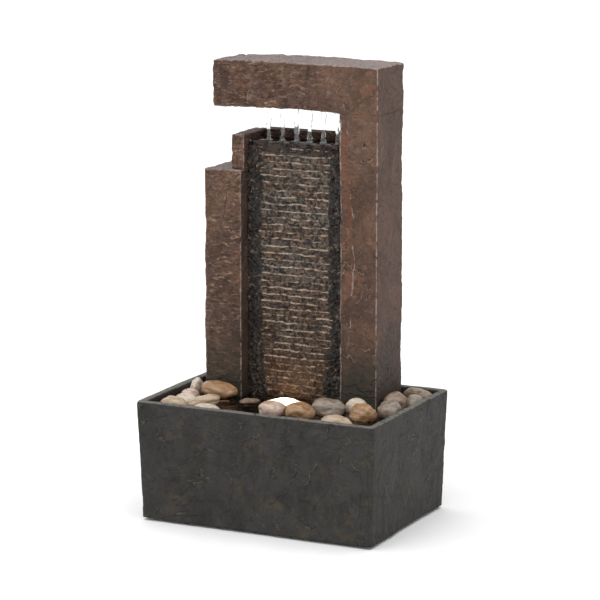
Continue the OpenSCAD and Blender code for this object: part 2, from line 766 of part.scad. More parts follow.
module light_seal() color(rubber_black) at_light() rotate_extrude()
    translate([light_r - 1.2, thread_top]) square([1.1, 1]);

lens_t = 2;
dome_h = 1.8;

module light_lens() color([0.9, 0.93, 0.95, 0.5]) at_light() {
    lens_r = light_r - 0.2;
    lens_z = thread_top + 1;
    dome_r = light_ir - 0.5;
    ball_r = (dome_r * dome_r + dome_h * dome_h) / (2 * dome_h);
    disc(lens_r, lens_z, lens_z + lens_t);
    rotate_extrude($fn = 64) intersection() {
        translate([0, lens_z + lens_t + dome_h - ball_r]) circle(ball_r, $fn = 128);
        translate([0, lens_z + lens_t - eps]) square([dome_r, dome_h + 1]);
    }
}

module light_ring() color(black_plastic) at_light() difference() {
    disc(flange_r, deck_z + flange_t + loose_fit, thread_top + 1 + lens_t + ring_lip);
    disc(light_r + slide_fit, deck_z, thread_top + 1 + lens_t);
    disc(light_ir, deck_z, rim_h + 10);
    // finger notches
    for (a = [0:30:330]) rotate([0, 0, a]) translate([flange_r + 0.9, 0, 0])
        disc(1.6, deck_z, rim_h + 10);
}

// The lead from the light to the pump lies under the deck and goes in over the pump
lead_r = 1.5;
lead_start = [light_x + light_r + 1, light_y, light_foot + 7];
lead_end = [riser_x + 10.4, motor_y1 - 6, pump_top];
lead_route = [
    lead_start,
    lead_start + [4, 0, 0],
    lead_start + [11, 1, -4],
    [(light_x + light_r + bay_x1) / 2 + 4, light_y + 8, pump_top + 18],
    [bay_x1 - 5, crest_y - 5, pump_top + 9],
    [bay_x1 + shell + 5, crest_y - 4, pump_top + 7],
    [riser_x + 6, volute_y0 - 7, pump_top + 6],
    [riser_x + 11.3, riser_y - 2, pump_top + 6],
    lead_end + [0, -6, 8],
    lead_end + [0, -1.2, 7],
    lead_end + [0, 0, 4],
    lead_end
];

module light_lead() color(rubber_black) swept(through(lead_route, 4), lead_r);

// ---------------------------------------------------------------- pebbles

// Each pebble: [length, width, thickness], [x, y, height of its middle over the deck],
// [roll, pitch, yaw]
PEBBLES = [
    [[28, 19, 18], [-103, -57, 9.3], [0, 6, 10]],
    [[26, 18, 16], [-102, -34, 8.3], [0, 0, 15]],
    [[22, 18, 16], [-109.5, -14, 8.3], [0, 0, 90]],
    [[24, 11.6, 22], [-113, 8.4, 11.3], [0, 0, 90]],
    [[39, 22, 17], [-83, 0, 14.8], [0, 4, -4]],
    [[31, 16, 14], [-77, -43, 12.2], [0, -12, 25]],
    [[28, 19, 16], [-64, -64, 8.3], [0, 0, 0]],
    [[22, 18, 9], [-50, 2, 4.8], [0, 0, 60]],
    [[28, 22, 19], [-5, -38, 9.8], [0, 0, 0]],
    [[28, 22, 20], [24, -36, 10.3], [0, 0, 0]],
    [[35, 24, 22], [44, -12, 11.3], [0, 0, 0]],
    [[30, 18, 18], [73, -56, 9.3], [0, 0, 10]],
    [[22, 15, 20], [66, 4.5, 10.3], [0, 0, 0]],
    [[27, 23, 22], [84, -19, 11.3], [0, 0, 0]],
    [[24, 20, 22], [102, 2, 11.3], [0, 0, 0]],
    [[22, 18, 25], [96, 29, 12.6], [0, 30, 0]],
    [[24, 18, 18], [107, 50, 9.3], [0, 0, 90]],
    [[31, 18, 20], [101, 72, 10.3], [0, 0, 0]],
    [[24, 18, 9], [102, -62, 4.8], [0, 0, 30]],
    [[24, 16, 9], [22, -63, 4.8], [0, 0, 20]],
    [[24, 18, 7], [-71, -9, 3.8], [0, 0, 80]]
];

function pebble_name(i) = str("pebble_", i < 9 ? "0" : "", i + 1);

// Keeps a pebble clear of the basin's wall: at is its middle and reach its half length that way
function inside(at, reach, half) = sign(at) * min(abs(at), half - basin_wall - reach - loose_fit);

module pebble(i) {
    size = PEBBLES[i][0];
    yaw = PEBBLES[i][2].z;
    reach_x = norm([size.x * cos(yaw), size.y * sin(yaw)]) / 2;
    reach_y = norm([size.x * sin(yaw), size.y * cos(yaw)]) / 2;
    place = [inside(PEBBLES[i][1].x, reach_x, half_w(deck_z)),
             inside(PEBBLES[i][1].y, reach_y, half_d(deck_z)),
             PEBBLES[i][1].z + deck_z];
    tones = [[0.75, 0.64, 0.52], [0.70, 0.58, 0.46], [0.62, 0.58, 0.54], [0.72, 0.50, 0.30]];
    color(tones[i % len(tones)])
        translate(place) rotate(PEBBLES[i][2])
            scale(size / 2) sphere(1, $fn = 20);
}

// ---------------------------------------------------------------- nodes

basin();
feet();
cord_grommet();
pebble_deck();
column();
beam();
pillar();
pillar_step();
cascade_panel();
trough();
back_plate();
back_screws();
riser_tube();
hose_clips();
elbow();
spray_bar();
bar_cap();
bar_clips();
pump_housing();
pump_gasket();
pump_volute();
pump_grille();
pump_cups();
pump_shaft();
shaft_bushes();
stator_core();
stator_coil();
pump_screws();
flow_dial();
impeller();
rotor_magnet();
light_housing();
light_bulb();
light_reflector();
light_seal();
light_lens();
light_ring();
light_lead();
for (i = [0:len(PEBBLES) - 1]) pebble(i);
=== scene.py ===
import itertools
import math

import bmesh
import bpy
import numpy as np
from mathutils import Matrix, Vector


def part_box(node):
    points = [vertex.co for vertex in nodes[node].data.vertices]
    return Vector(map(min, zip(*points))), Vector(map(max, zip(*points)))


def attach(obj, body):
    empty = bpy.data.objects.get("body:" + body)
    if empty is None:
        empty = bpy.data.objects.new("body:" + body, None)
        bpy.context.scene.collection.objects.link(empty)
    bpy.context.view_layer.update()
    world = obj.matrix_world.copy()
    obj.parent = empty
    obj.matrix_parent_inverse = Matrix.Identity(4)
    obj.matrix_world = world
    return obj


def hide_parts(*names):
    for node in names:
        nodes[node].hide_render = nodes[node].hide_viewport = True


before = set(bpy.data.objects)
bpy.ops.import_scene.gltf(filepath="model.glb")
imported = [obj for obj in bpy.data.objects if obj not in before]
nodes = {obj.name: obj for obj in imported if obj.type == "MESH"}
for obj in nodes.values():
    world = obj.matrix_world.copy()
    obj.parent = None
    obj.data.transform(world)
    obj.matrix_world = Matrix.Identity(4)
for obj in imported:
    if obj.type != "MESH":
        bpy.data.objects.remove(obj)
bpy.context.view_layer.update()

# Sizes in the code below are in millimetres; meshes are written in metres.
MM = 0.001


def limits(node):
    """Lowest and highest corner of a CAD node, in mm."""
    lo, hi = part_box(node)
    return np.array(lo) / MM, np.array(hi) / MM


def add(name, data):
    """A new object in the scene."""
    obj = bpy.data.objects.new(name, data)
    bpy.context.scene.collection.objects.link(obj)
    return obj


def aim(obj, way, axis):
    """Turns an object's axis to point the given way."""
    obj.rotation_mode = "QUATERNION"
    obj.rotation_quaternion = Vector(way).to_track_quat(axis, "Y")


basin_lo, basin_hi = limits("basin")
column_lo, column_hi = limits("column")
beam_lo, beam_hi = limits("beam")
pillar_lo, pillar_hi = limits("pillar")
step_lo, step_hi = limits("pillar_step")
panel_lo, panel_hi = limits("cascade_panel")
trough_lo, trough_hi = limits("trough")
plate_lo, plate_hi = limits("back_plate")
deck_hi = limits("pebble_deck")[1]
lens_lo, lens_hi = limits("light_lens")
lens_mid = (lens_lo + lens_hi) / 2
bar_lo, bar_hi = limits("spray_bar")
cups_lo = limits("pump_cups")[0]
grommet_lo, grommet_hi = limits("cord_grommet")

SHELL = 5.0                 # the tower's wall
BASIN_WALL = 7.0
CORNER_R = 3.5              # the basin's upright corners
BATTER = 4.0                # how far the basin narrows from rim to foot
LEDGE_Z = deck_hi[2] - 3.0  # the deck, 3 mm thick, lies on the basin's ledge
LEDGE_W = 5.0
WATER_Z = deck_hi[2] + 7.0  # the pool's surface
SHEET = 3.0                 # how thick a sheet of water is
FLOOR_Z = cups_lo[2]

# ---------------- camera

TARGET = Vector((0.0064, 0.0002, 0.2168))
AZIMUTH, ELEVATION = math.radians(26.0), math.radians(11.3)
DISTANCE = 2.824
FOCAL = 173.30              # mm on a 36 mm sensor

back = Vector((math.sin(AZIMUTH) * math.cos(ELEVATION),
               -math.cos(AZIMUTH) * math.cos(ELEVATION),
               math.sin(ELEVATION)))
camera = add("camera", bpy.data.cameras.new("camera"))
camera.location = TARGET + back * DISTANCE
aim(camera, -back, "-Z")
camera.data.lens = FOCAL
camera.data.sensor_width = 36.0
camera.data.clip_start, camera.data.clip_end = 0.05, 200.0
bpy.context.scene.camera = camera
bpy.context.scene.view_settings.view_transform = "Standard"

# ---------------- noise


def lattice(i, j, k, seed):
    """A repeatable number from 0 to 1 for each lattice point."""
    h = (i * 73856093) ^ (j * 19349663) ^ (k * 83492791) ^ (seed * 40503 + 977)
    h = ((h ^ (h >> 13)) * 1274126177) & 0xFFFFFFFF
    h = ((h ^ (h >> 15)) * 668265263) & 0xFFFFFFFF
    return ((h ^ (h >> 16)) & 0xFFFF) / 65535.0


def value_noise(p, size, seed=0):
    """Smooth noise from -1 to 1 with features of about the given size."""
    q = p / np.asarray(size, float)
    cell = np.floor(q).astype(np.int64)
    f = q - cell
    f = f * f * f * (f * (f * 6 - 15) + 10)
    total = np.zeros(len(p))
    for step in itertools.product((0, 1), repeat=3):
        w = [f[:, a] if step[a] else 1 - f[:, a] for a in range(3)]
        total += w[0] * w[1] * w[2] * lattice(*(cell + step).T, seed)
    return total * 2 - 1


TURN = np.array([[0.36, 0.48, -0.80], [-0.80, 0.60, 0.0], [0.48, 0.64, 0.60]])


def fbm(p, size, octaves=4, seed=0, gain=0.5):
    """Layered noise, about -1 to 1; each layer is turned so that no grid shows."""
    total, weight, norm = np.zeros(len(p)), 1.0, 0.0
    size = np.asarray(size, float)
    q = p / size
    for o in range(octaves):
        total += weight * value_noise(q, 1.0, seed + o * 17)
        norm += weight
        weight *= gain
        q = (q @ TURN.T) * 2.03 + 5.7
    return total / norm


def facets(p, size, seed=0):
    """Chipped stone: each cell is a plane with its own tilt, from about -1 to 1. Also gives the way
    to the nearest border."""
    q = p / np.asarray(size, float)
    cell = np.floor(q).astype(np.int64)
    near = np.full(len(p), 1e9)
    second = np.full(len(p), 1e9)
    height = np.zeros(len(p))
    for step in itertools.product((-1, 0, 1), repeat=3):
        i, j, k = (cell + step).T
        r = [lattice(i, j, k, seed + s) for s in range(7)]
        d = q - np.stack([i + r[0], j + r[1], k + r[2]], 1)
        dist = (d * d).sum(1)
        h = (r[3] - 0.5) + d[:, 0] * (r[4] - 0.5) + d[:, 1] * (r[5] - 0.5) + d[:, 2] * (r[6] - 0.5)
        closer = dist < near
        second = np.where(closer, near, np.minimum(second, dist))
        height = np.where(closer, h, height)
        near = np.where(closer, dist, near)
    return height * 1.4, np.sqrt(second) - np.sqrt(near)


def ramp01(x, a, b):
    t = np.clip((x - a) / (b - a), 0, 1)
    return t * t * (3 - 2 * t)


def terraces(h, levels, sharp=0.8):
    """Turns smooth heights (0 to 1) into flat flakes with steep edges."""
    t = h * levels
    f = np.floor(t)
    return (f + ramp01(t - f, sharp, 1.0)) / levels


def slate(p, seed, chisel=0.0, flakes=1.0, size=34.0):
    """Depth in mm (about -1.2 to 0.7) of split slate at points p, and a 0 to 1 height for its colour."""
    bend = np.stack([fbm(p, 21.0, 3, seed + s) for s in (90, 91, 92)], 1)
    h = fbm(p + 9.0 * bend, (size, size, size * 1.35), 3, seed) * 0.5 + 0.5
    steps = terraces(h, 5, 0.80)
    grain = fbm(p, 3.2, 3, seed + 5)
    chips, border = facets(p + 2.2 * bend, (6.5, 6.5, 5.0), seed + 9)
    cracks = 1 - ramp01(border, 0.02, 0.10)
    depth = (-2.2 * flakes * (0.5 - steps) + 0.20 * grain
             + chisel * (0.65 * chips - 0.15 * cracks) - 0.10)
    tone = np.clip(0.5 * steps + 0.5 + 0.35 * grain + chisel * 0.5 * chips, 0, 1)
    return np.clip(depth, -1.3, 0.8), tone


# ---------------- meshes


def make_mesh(name, points, faces, marks=None, smooth=True):
    """An object from points in mm, faces and named per-point values."""
    mesh = bpy.data.meshes.new(name)
    mesh.from_pydata((np.asarray(points, float) * MM).tolist(), [], [list(map(int, f)) for f in faces])
    for key, values in (marks or {}).items():
        layer = mesh.attributes.new(key, "FLOAT", "POINT")
        layer.data.foreach_set("value", np.asarray(values, np.float32))
    mesh.validate()
    mesh.polygons.foreach_set("use_smooth", [smooth] * len(mesh.polygons))
    mesh.update()
    return add(name, mesh)


def grid_quads(idx):
    """The squares of a grid of point numbers."""
    return np.stack([idx[:-1, :-1], idx[1:, :-1], idx[1:, 1:], idx[:-1, 1:]], -1).reshape(-1, 4)


def shell_lattice(n):
    """Points (whole numbers) and outward quads on the surface of an n[0] x n[1] x n[2] lattice."""
    shape = [k + 1 for k in n]
    grid = np.full(shape, -1, np.int64)
    on = np.zeros(shape, bool)
    walls = []                                      # where each wall is, and whether it faces inward
    for axis, end in itertools.product(range(3), (0, -1)):
        index = [slice(None)] * 3
        index[axis] = end
        on[tuple(index)] = True
        walls.append((tuple(index), (axis == 1) == (end == -1)))
    grid[on] = np.arange(on.sum())
    quads = []
    for index, inward in walls:
        q = grid_quads(grid[index])
        quads.append(q[:, ::-1] if inward else q)
    return np.argwhere(on), np.concatenate(quads)


def block(name, lo, hi, step, radius, relief, warp=None, joint=None, extra=None):
    """A stone block with worn, uneven edges. radius(p) gives how round it is along each axis, and
    relief(p) gives depth and tone. joint(p) is 1 where the edge meets another block and stays whole."""
    lo, hi = np.asarray(lo, float), np.asarray(hi, float)
    n = [max(2, int(round((hi[a] - lo[a]) / step))) for a in range(3)]
    idx, quads = shell_lattice(n)
    p = lo + (hi - lo) * idx / np.array(n)
    r = radius(p)
    inner = np.clip(p, lo + r, hi - r)
    d = (p - inner) / r
    d /= np.linalg.norm(d, axis=1)[:, None]
    shaped = inner + r * d
    depth, tone = relief(p)
    away = np.sort(np.minimum(p - lo, hi - p), axis=1)[:, 1]
    # The edge mark drives the pale worn colour: wear, and a painted highlight where the edges catch the
    # light.
    edge = np.exp(-away / 1.8) * (0.62 + 0.38 * fbm(p, 7.0, 3, 71))
    nibble = np.clip(fbm(p, 11.0, 3, 33) - 0.10, 0, 1) * np.exp(-away / 2.6) * 3.0
    if joint:
        whole = 1 - joint(p)
        nibble, edge = nibble * whole, edge * whole
    shaped = shaped + d * (depth - nibble)[:, None]
    if warp:
        shaped = warp(shaped, p)
    more = extra(p) if extra else {}
    marks = {"relief": tone, "edge": np.maximum(np.clip(edge, 0, 1), more.pop("edge", 0.0))}
    return make_mesh(name, shaped, quads, {**marks, **more})


def apply_modifiers(obj):
    depsgraph = bpy.context.evaluated_depsgraph_get()
    mesh = bpy.data.meshes.new_from_object(obj.evaluated_get(depsgraph))
    obj.modifiers.clear()
    obj.data = mesh


def cut(obj, cutters):
    """Cuts boxes and rods out of a piece, one at a time: ("box", lo, hi) or ("rod", start, end, radius)."""
    for c in cutters:
        bm = bmesh.new()
        start, end = (Vector(tuple(float(v) * MM for v in q)) for q in c[1:3])
        if c[0] == "box":
            made = bmesh.ops.create_cube(bm, size=1.0)["verts"]
            for v in made:
                v.co = Vector([start[a] if v.co[a] < 0 else end[a] for a in range(3)])
        else:
            made = bmesh.ops.create_cone(bm, cap_ends=True, segments=32, radius1=c[3] * MM,
                                         radius2=c[3] * MM, depth=(end - start).length)["verts"]
            turn = (end - start).to_track_quat("Z", "Y")
            for v in made:
                v.co = turn @ v.co + (start + end) / 2
        mesh = bpy.data.meshes.new("cutter")
        bm.to_mesh(mesh)
        bm.free()
        tool = add("cutter", mesh)
        mod = obj.modifiers.new("cut", "BOOLEAN")
        mod.operation, mod.object, mod.solver = "DIFFERENCE", tool, "EXACT"
        apply_modifiers(obj)
        bpy.data.objects.remove(tool)


def place(obj, material, body, slot, *replaced):
    obj.data.materials.clear()
    obj.data.materials.append(material)
    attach(obj, body)
    if replaced:
        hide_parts(*replaced)
    return obj


# ---------------- materials


def shade_of(colour, factor, lift=0.0):
    """A linear colour made darker or lighter."""
    return tuple(min(1.0, c * factor + lift) for c in colour[:3]) + (1.0,)


def rgb(r, g, b):
    """Linear colour from an sRGB one of 0 to 255."""
    return tuple(v / 12.92 if v <= 0.04045 else ((v + 0.055) / 1.055) ** 2.4
                 for v in (r / 255, g / 255, b / 255)) + (1.0,)


M = {}                      # finished materials by name; most are named after the record's slots


class Finish:
    """A node material, with short names for the nodes it is made of."""

    def __init__(self, name, **constants):
        self.name = name
        self.material = bpy.data.materials.new(name)
        self.material.use_nodes = True
        self.tree = self.material.node_tree
        self.shader = self.tree.nodes["Principled BSDF"]
        self.place = self.node("TexCoord").outputs["Object"]
        for key, value in constants.items():
            self.shader.inputs[key.replace("_", " ")].default_value = value

    def put(self, socket, value):
        if isinstance(value, bpy.types.NodeSocket):
            self.tree.links.new(value, socket)
        else:
            socket.default_value = value

    def node(self, kind, props=(), inputs=()):
        n = self.tree.nodes.new("ShaderNode" + kind)
        for key, value in dict(props).items():
            setattr(n, key, value)
        for key, value in dict(inputs).items():
            self.put(n.inputs[key], value)
        return n

    def noise(self, size, detail=4.0, rough=0.55, bend=0.0, at=None, kind="FBM"):
        """Noise from 0 to 1 with features of about the given size in mm."""
        return self.node("TexNoise", {"noise_type": kind, "normalize": True},
                         {"Vector": at or self.place, "Scale": 1.0 / (size * MM), "Detail": detail,
                          "Roughness": rough, "Distortion": bend}).outputs["Fac"]

    def cells(self, size, at):
        return self.node("TexVoronoi", (), {"Vector": at, "Scale": 1.0 / (size * MM)}).outputs["Distance"]

    def shift(self, x, y, z, stretch=(1, 1, 1)):
        return self.node("Mapping", (), {"Vector": self.place, "Location": (x, y, z),
                                         "Scale": stretch}).outputs["Vector"]

    def mark(self, name):
        return self.node("Attribute", {"attribute_name": name}).outputs["Fac"]

    def span(self, value, a, b, to0=0.0, to1=1.0):
        """A smooth step from to0 at a to to1 at b."""
        return self.node("MapRange", {"interpolation_type": "SMOOTHSTEP"},
                         {0: value, 1: a, 2: b, 3: to0, 4: to1}).outputs[0]

    def math(self, op, a, b=0.0):
        return self.node("Math", {"operation": op}, {0: a, 1: b}).outputs[0]

    def mix(self, factor, a, b):
        return self.node("Mix", {"data_type": "RGBA"}, {0: factor, 6: a, 7: b}).outputs[2]

    def times(self, a, b):
        return self.math("MULTIPLY", a, b)

    def over(self, colour, tone, where, amount):
        """The colour, with up to amount of the tone laid over it."""
        return self.mix(self.times(where, amount), colour, tone)

    def axis(self, i):
        return self.node("SeparateXYZ", (), {0: self.place}).outputs[i]

    def bump(self, height, depth, normal=None):
        inputs = {"Height": height, "Strength": 1.0, "Distance": depth * MM}
        if normal:
            inputs["Normal"] = normal
        return self.node("Bump", (), inputs).outputs["Normal"]

    def done(self, colour, rough, normal):
        for key, value in (("Base Color", colour), ("Roughness", rough), ("Normal", normal)):
            self.put(self.shader.inputs[key], value)
        M[self.name] = self.material
        return self.material


def stone(name, base, dark, light, rust, rust_level=0.58, worn=None, foot=None, wet=0.0, cool=None,
          split=(62, 9.0, 0.55), strokes=None, fleck=0.35, dust_and_sheen=None, side=None):
    """Resin slate: blotches, split flakes with a painted highlight on their crests and painted shade at
    their feet and in the low flakes, rust, pale edges from wear and a painted highlight, a darker foot.
    split is the flakes' size in mm, how many lie in the noise's range, and how strong their painted
    highlight and shade lines are.
    strokes is where the fine chisel marks are fullest and faintest in x, in mm, and their strength.
    foot is where the darker foot starts and is full, in mm, and its colour. What faces up takes the
    dusty colour, partly real dustiness and partly a painted sheen of the light from above, and side
    paints shade on what faces the right."""
    f = Finish(name, Specular_IOR_Level=0.2)
    if wet:
        f.shader.inputs["Coat Weight"].default_value = wet
        f.shader.inputs["Coat Roughness"].default_value = 0.12
    blotch = f.noise(34, 5, 0.6, 0.6)
    fine = f.noise(2.6, 6, 0.65)
    streak = f.noise(14, 6, 0.62, 1.2, f.shift(3.1, 1.7, 0.4, (1.0, 1.0, 0.45)))
    rusty = f.noise(24, 6, 0.6, 0.9, f.shift(7.3, 2.2, 5.1))
    relief, edge = f.mark("relief"), f.mark("edge")
    size, count, strength = split
    wave = f.times(f.noise(size, 7, 0.52, 0.7, f.shift(2.7, 4.4, 1.3)), count)
    part = f.math("FRACT", wave)
    shows = f.span(f.noise(size * 0.55, 3, 0.5, 0.0, f.shift(5.5, 1.2, 8.8)), 0.44, 0.58)
    # crest and hollow mark painted lines: a painted highlight on each flake's crest and painted shade at its
    # foot.
    crest = f.times(f.span(part, 0.88, 0.97), shows)
    hollow = f.times(f.span(part, 0.11, 0.02), shows)
    ledge = f.math("ADD", f.math("SUBTRACT", wave, part), f.span(part, 0.86, 1.0))
    colour = f.mix(f.span(blotch, 0.36, 0.64, 0.3, 1.0), dark, base)
    if cool:
        colour = f.mix(f.span(streak, 0.45, 0.72), colour, cool)
    colour = f.over(colour, rust, f.span(rusty, rust_level, rust_level + 0.14), 0.5)
    colour = f.over(colour, light, f.span(fine, 0.52, 0.78), fleck)
    colour = f.over(colour, dark, f.span(fine, 0.46, 0.25), fleck + 0.15)
    # The relief mark is low in the dips and high on raised flakes and chips, so these two lines paint shade
    # into the dips and a highlight onto the high spots, over some grain.
    colour = f.over(colour, dark, f.span(relief, 0.75, 0.30), 0.5)
    colour = f.over(colour, light, f.span(relief, 0.90, 1.0), 0.15)
    normal = f.bump(f.noise(1.1, 5, 0.7), 0.35)
    normal = f.bump(f.noise(4.5, 7, 0.62, 0.5), 1.3, normal)
    if strokes:
        x0, x1, amount = strokes
        turned = f.node("Mapping", (), {"Vector": f.place, "Rotation": (0.0, 0.75, 0.2),
                                        "Scale": (0.5, 1.0, 1.5)}).outputs["Vector"]
        marks = f.noise(4.6, 5, 0.62, 1.2, turned)
        where = f.times(f.span(f.axis(0), x1 * MM, x0 * MM, 0.25, 1.0), amount)
        colour = f.over(colour, light, f.span(marks, 0.54, 0.70), where)
        colour = f.over(colour, dark, f.span(marks, 0.46, 0.32), where)
        normal = f.bump(f.times(marks, where), 2.4, normal)
    if foot:
        top, bottom, tone = foot
        height = f.math("ADD", f.axis(2), f.times(f.math("SUBTRACT", blotch, 0.5), 0.12))
        colour = f.mix(f.span(height, top * MM, bottom * MM), colour, tone)
    # Painted highlight on the crests and painted shade in the hollows.
    colour = f.over(colour, light, crest, strength)
    colour = f.over(colour, shade_of(dark, 0.45), hollow, min(1.0, strength * 1.4))
    colour = f.over(colour, rust, f.span(f.mark("streak"), 0.2, 0.9), 0.4)
    right, _, up = f.node("SeparateXYZ", (), {0: f.node("NewGeometry").outputs["Normal"]}).outputs
    # Painted shade: faces that point to the right are darkened towards the side colour.
    if side:
        colour = f.over(colour, side, f.span(right, 0.5, 0.85), 0.45)
    # What faces up turns paler: some dustiness, and a painted sheen of the light from above.
    if dust_and_sheen:
        colour = f.over(colour, dust_and_sheen, f.span(up, 0.55, 0.95), f.span(fine, 0.3, 0.7, 0.25, 0.75))
    # The pale worn colour along the edges is wear and also a painted highlight on the lit edges.
    if worn:
        chip = f.span(f.times(edge, f.span(f.noise(5, 4, 0.6), 0.20, 0.55)), 0.20, 0.60)
        colour = f.over(colour, worn, chip, 0.55)
    rough = f.span(fine, 0.3, 0.7, 0.52 - 0.2 * wet, 0.80 - 0.3 * wet)
    return f.done(colour, rough, f.bump(ledge, 1.1, normal))


def plastic(name, colour, rough, speck):
    """Moulded plastic or rubber: fine grain, faint scuffs and a little tone change."""
    f = Finish(name)
    tone = f.noise(12, 4, 0.6)
    scuff = f.noise(3.0, 6, 0.7, 0.4, f.shift(1, 2, 3, (1, 1, 0.3)))
    lighter = shade_of(colour, 1.35, 0.01)
    shade = f.mix(f.span(tone, 0.35, 0.65), shade_of(colour, 0.72), colour)
    shade = f.over(shade, lighter, f.span(scuff, 0.58, 0.75), speck)
    return f.done(shade, f.span(scuff, 0.35, 0.7, rough - 0.08, rough + 0.14),
                  f.bump(f.noise(0.7, 3, 0.6), 0.03, f.bump(scuff, 0.04)))


def metal(name, colour, rough, brushed):
    """Brushed metal with duller stains."""
    f = Finish(name, Metallic=1.0)
    brush = f.noise(0.6, 4, 0.6, 0.0, f.shift(0, 0, 0, brushed))
    stain = f.noise(6, 5, 0.6, 0.5)
    shade = f.mix(f.span(stain, 0.4, 0.62), shade_of(colour, 0.6), colour)
    return f.done(shade, f.span(brush, 0.3, 0.7, rough - 0.08, rough + 0.15), f.bump(brush, 0.02))


def clear(name, tint, rough, ior, ripple=None, through=1.0):
    """Glass, clear plastic or water; ripple is the waves' size and depth in mm."""
    f = Finish(name, Transmission_Weight=through, IOR=ior)
    cloud = f.noise(9, 4, 0.6)
    shade = f.mix(f.span(cloud, 0.35, 0.65), tint, shade_of(tint, 1.06))
    bumps = f.bump(f.noise(ripple[0], 3, 0.5, 0.6), ripple[1]) if ripple else f.bump(f.noise(2, 2), 0.01)
    return f.done(shade, f.span(f.noise(5, 5, 0.6), 0.35, 0.65, rough, rough + 0.04), bumps)


def pebble_finish(name, base, dark, light, vein, speck):
    """A tumbled stone: bands, speckles, a few veins and a damp shine."""
    f = Finish(name, Specular_IOR_Level=0.5, Coat_Weight=0.18, Coat_Roughness=0.2)
    bands = f.noise(9, 5, 0.6, 1.4, f.shift(2, 5, 1, (0.6, 1.0, 2.2)))
    spots = f.cells(1.5, f.shift(1, 1, 1))
    grain = f.noise(0.9, 4, 0.7)
    veins = f.noise(13, 5, 0.55, 1.5, f.shift(9, 1, 4), "RIDGED_MULTIFRACTAL")
    colour = f.mix(f.times(f.span(bands, 0.38, 0.62), 0.5), base, light)
    colour = f.over(colour, dark, f.span(bands, 0.52, 0.30), 0.5)
    colour = f.over(colour, dark, f.span(spots, 0.28, 0.10), speck)
    colour = f.over(colour, light, f.span(grain, 0.55, 0.8), 0.45)
    colour = f.over(colour, vein, f.span(veins, 0.72, 0.9), 0.35)
    low = f.span(f.axis(2), (WATER_Z + 2.5) * MM, (WATER_Z - 1.0) * MM)
    colour = f.over(colour, dark, low, 0.6)
    return f.done(colour, f.span(grain, 0.3, 0.7, 0.28, 0.5), f.bump(grain, 0.12, f.bump(bands, 0.3)))


stone("rust_slate", rgb(106, 80, 65), rgb(62, 46, 38), rgb(158, 130, 110), rgb(124, 76, 54), 0.56,
      rgb(182, 166, 158), (230, 95, rgb(58, 56, 48)), cool=rgb(90, 70, 64), split=(60, 11.0, 0.65),
      strokes=(-60, 60, 0.95), fleck=0.5, dust_and_sheen=rgb(158, 148, 148), side=rgb(74, 60, 56))
stone("rust_slate_back", rgb(98, 80, 72), rgb(66, 54, 50), rgb(134, 116, 104), rgb(120, 78, 56), 0.6,
      rgb(160, 140, 126), (240, 90, rgb(64, 60, 55)), cool=rgb(86, 76, 76))
stone("basin_slate", rgb(56, 54, 52), rgb(36, 34, 32), rgb(88, 84, 76), rgb(76, 64, 44), 0.55,
      rgb(132, 129, 122), cool=rgb(54, 53, 53), split=(88, 11.0, 0.62), fleck=0.6)
stone("trough_rock", rgb(54, 39, 31), rgb(24, 17, 14), rgb(116, 100, 90), rgb(64, 40, 30), 0.6,
      rgb(132, 122, 118), None, 0.12, rgb(38, 32, 31), split=(20, 8.0, 0.8))

for name, tone, rough, speck in (
        ("black_plastic", (34, 33, 32), 0.4, 0.3), ("pump_plastic", (44, 46, 49), 0.45, 0.3),
        ("dial_plastic", (96, 100, 104), 0.4, 0.3), ("impeller_plastic", (205, 205, 198), 0.38, 0.3),
        ("rubber", (38, 37, 37), 0.7, 0.2), ("lead_rubber", (28, 28, 29), 0.55, 0.2),
        ("ceramic", (232, 230, 224), 0.2, 0.15)):
    plastic(name, rgb(*tone), rough, speck)
for name, tone, rough, brushed in (
        ("steel", (190, 190, 188), 0.28, (1, 1, 8)), ("lamination", (128, 130, 134), 0.4, (1, 9, 1)),
        ("copper_wire", (196, 112, 66), 0.32, (1, 1, 12)), ("magnet", (92, 92, 96), 0.45, (1, 1, 8)),
        ("reflector", (236, 234, 226), 0.12, (1, 1, 8))):
    metal(name, rgb(*tone), rough, brushed)
clear("clear_tube", rgb(228, 232, 230), 0.08, 1.45)
clear("bulb_glass", rgb(250, 244, 230), 0.05, 1.5)

PEBBLE_TONES = {            # base, dark, light and vein colours
    "pebble_tan": ((170, 146, 120), (122, 98, 76), (206, 186, 160), (150, 112, 84)),
    "pebble_cream": ((188, 172, 154), (146, 126, 108), (226, 216, 202), (196, 160, 134)),
    "pebble_pink": ((182, 156, 138), (140, 112, 96), (214, 194, 176), (176, 128, 108)),
    "pebble_orange": ((150, 110, 76), (112, 80, 56), (180, 152, 118), (172, 102, 58)),
    "pebble_grey": ((128, 114, 100), (90, 78, 68), (168, 154, 140), (116, 98, 84)),
    "pebble_brown": ((128, 106, 88), (84, 66, 52), (168, 150, 130), (150, 106, 76)),
}
for name, tones in PEBBLE_TONES.items():
    pebble_finish(name, *(rgb(*tone) for tone in tones), 0.8 if name == "pebble_grey" else 0.4)

water_clear = clear("water_clear", rgb(250, 253, 255), 0.02, 1.33, (3.0, 0.12), through=0.9)
water_pool = clear("water_pool", rgb(138, 116, 90), 0.03, 1.33, (11.0, 0.9))


def foam_finish():
    f = Finish("foam", Transmission_Weight=0.35, IOR=1.33)
    grain = f.noise(0.8, 3, 0.6)
    shade = f.mix(f.span(grain, 0.4, 0.6), rgb(214, 218, 216), rgb(250, 252, 252))
    return f.done(shade, f.span(grain, 0.3, 0.7, 0.1, 0.3), f.bump(grain, 0.05))


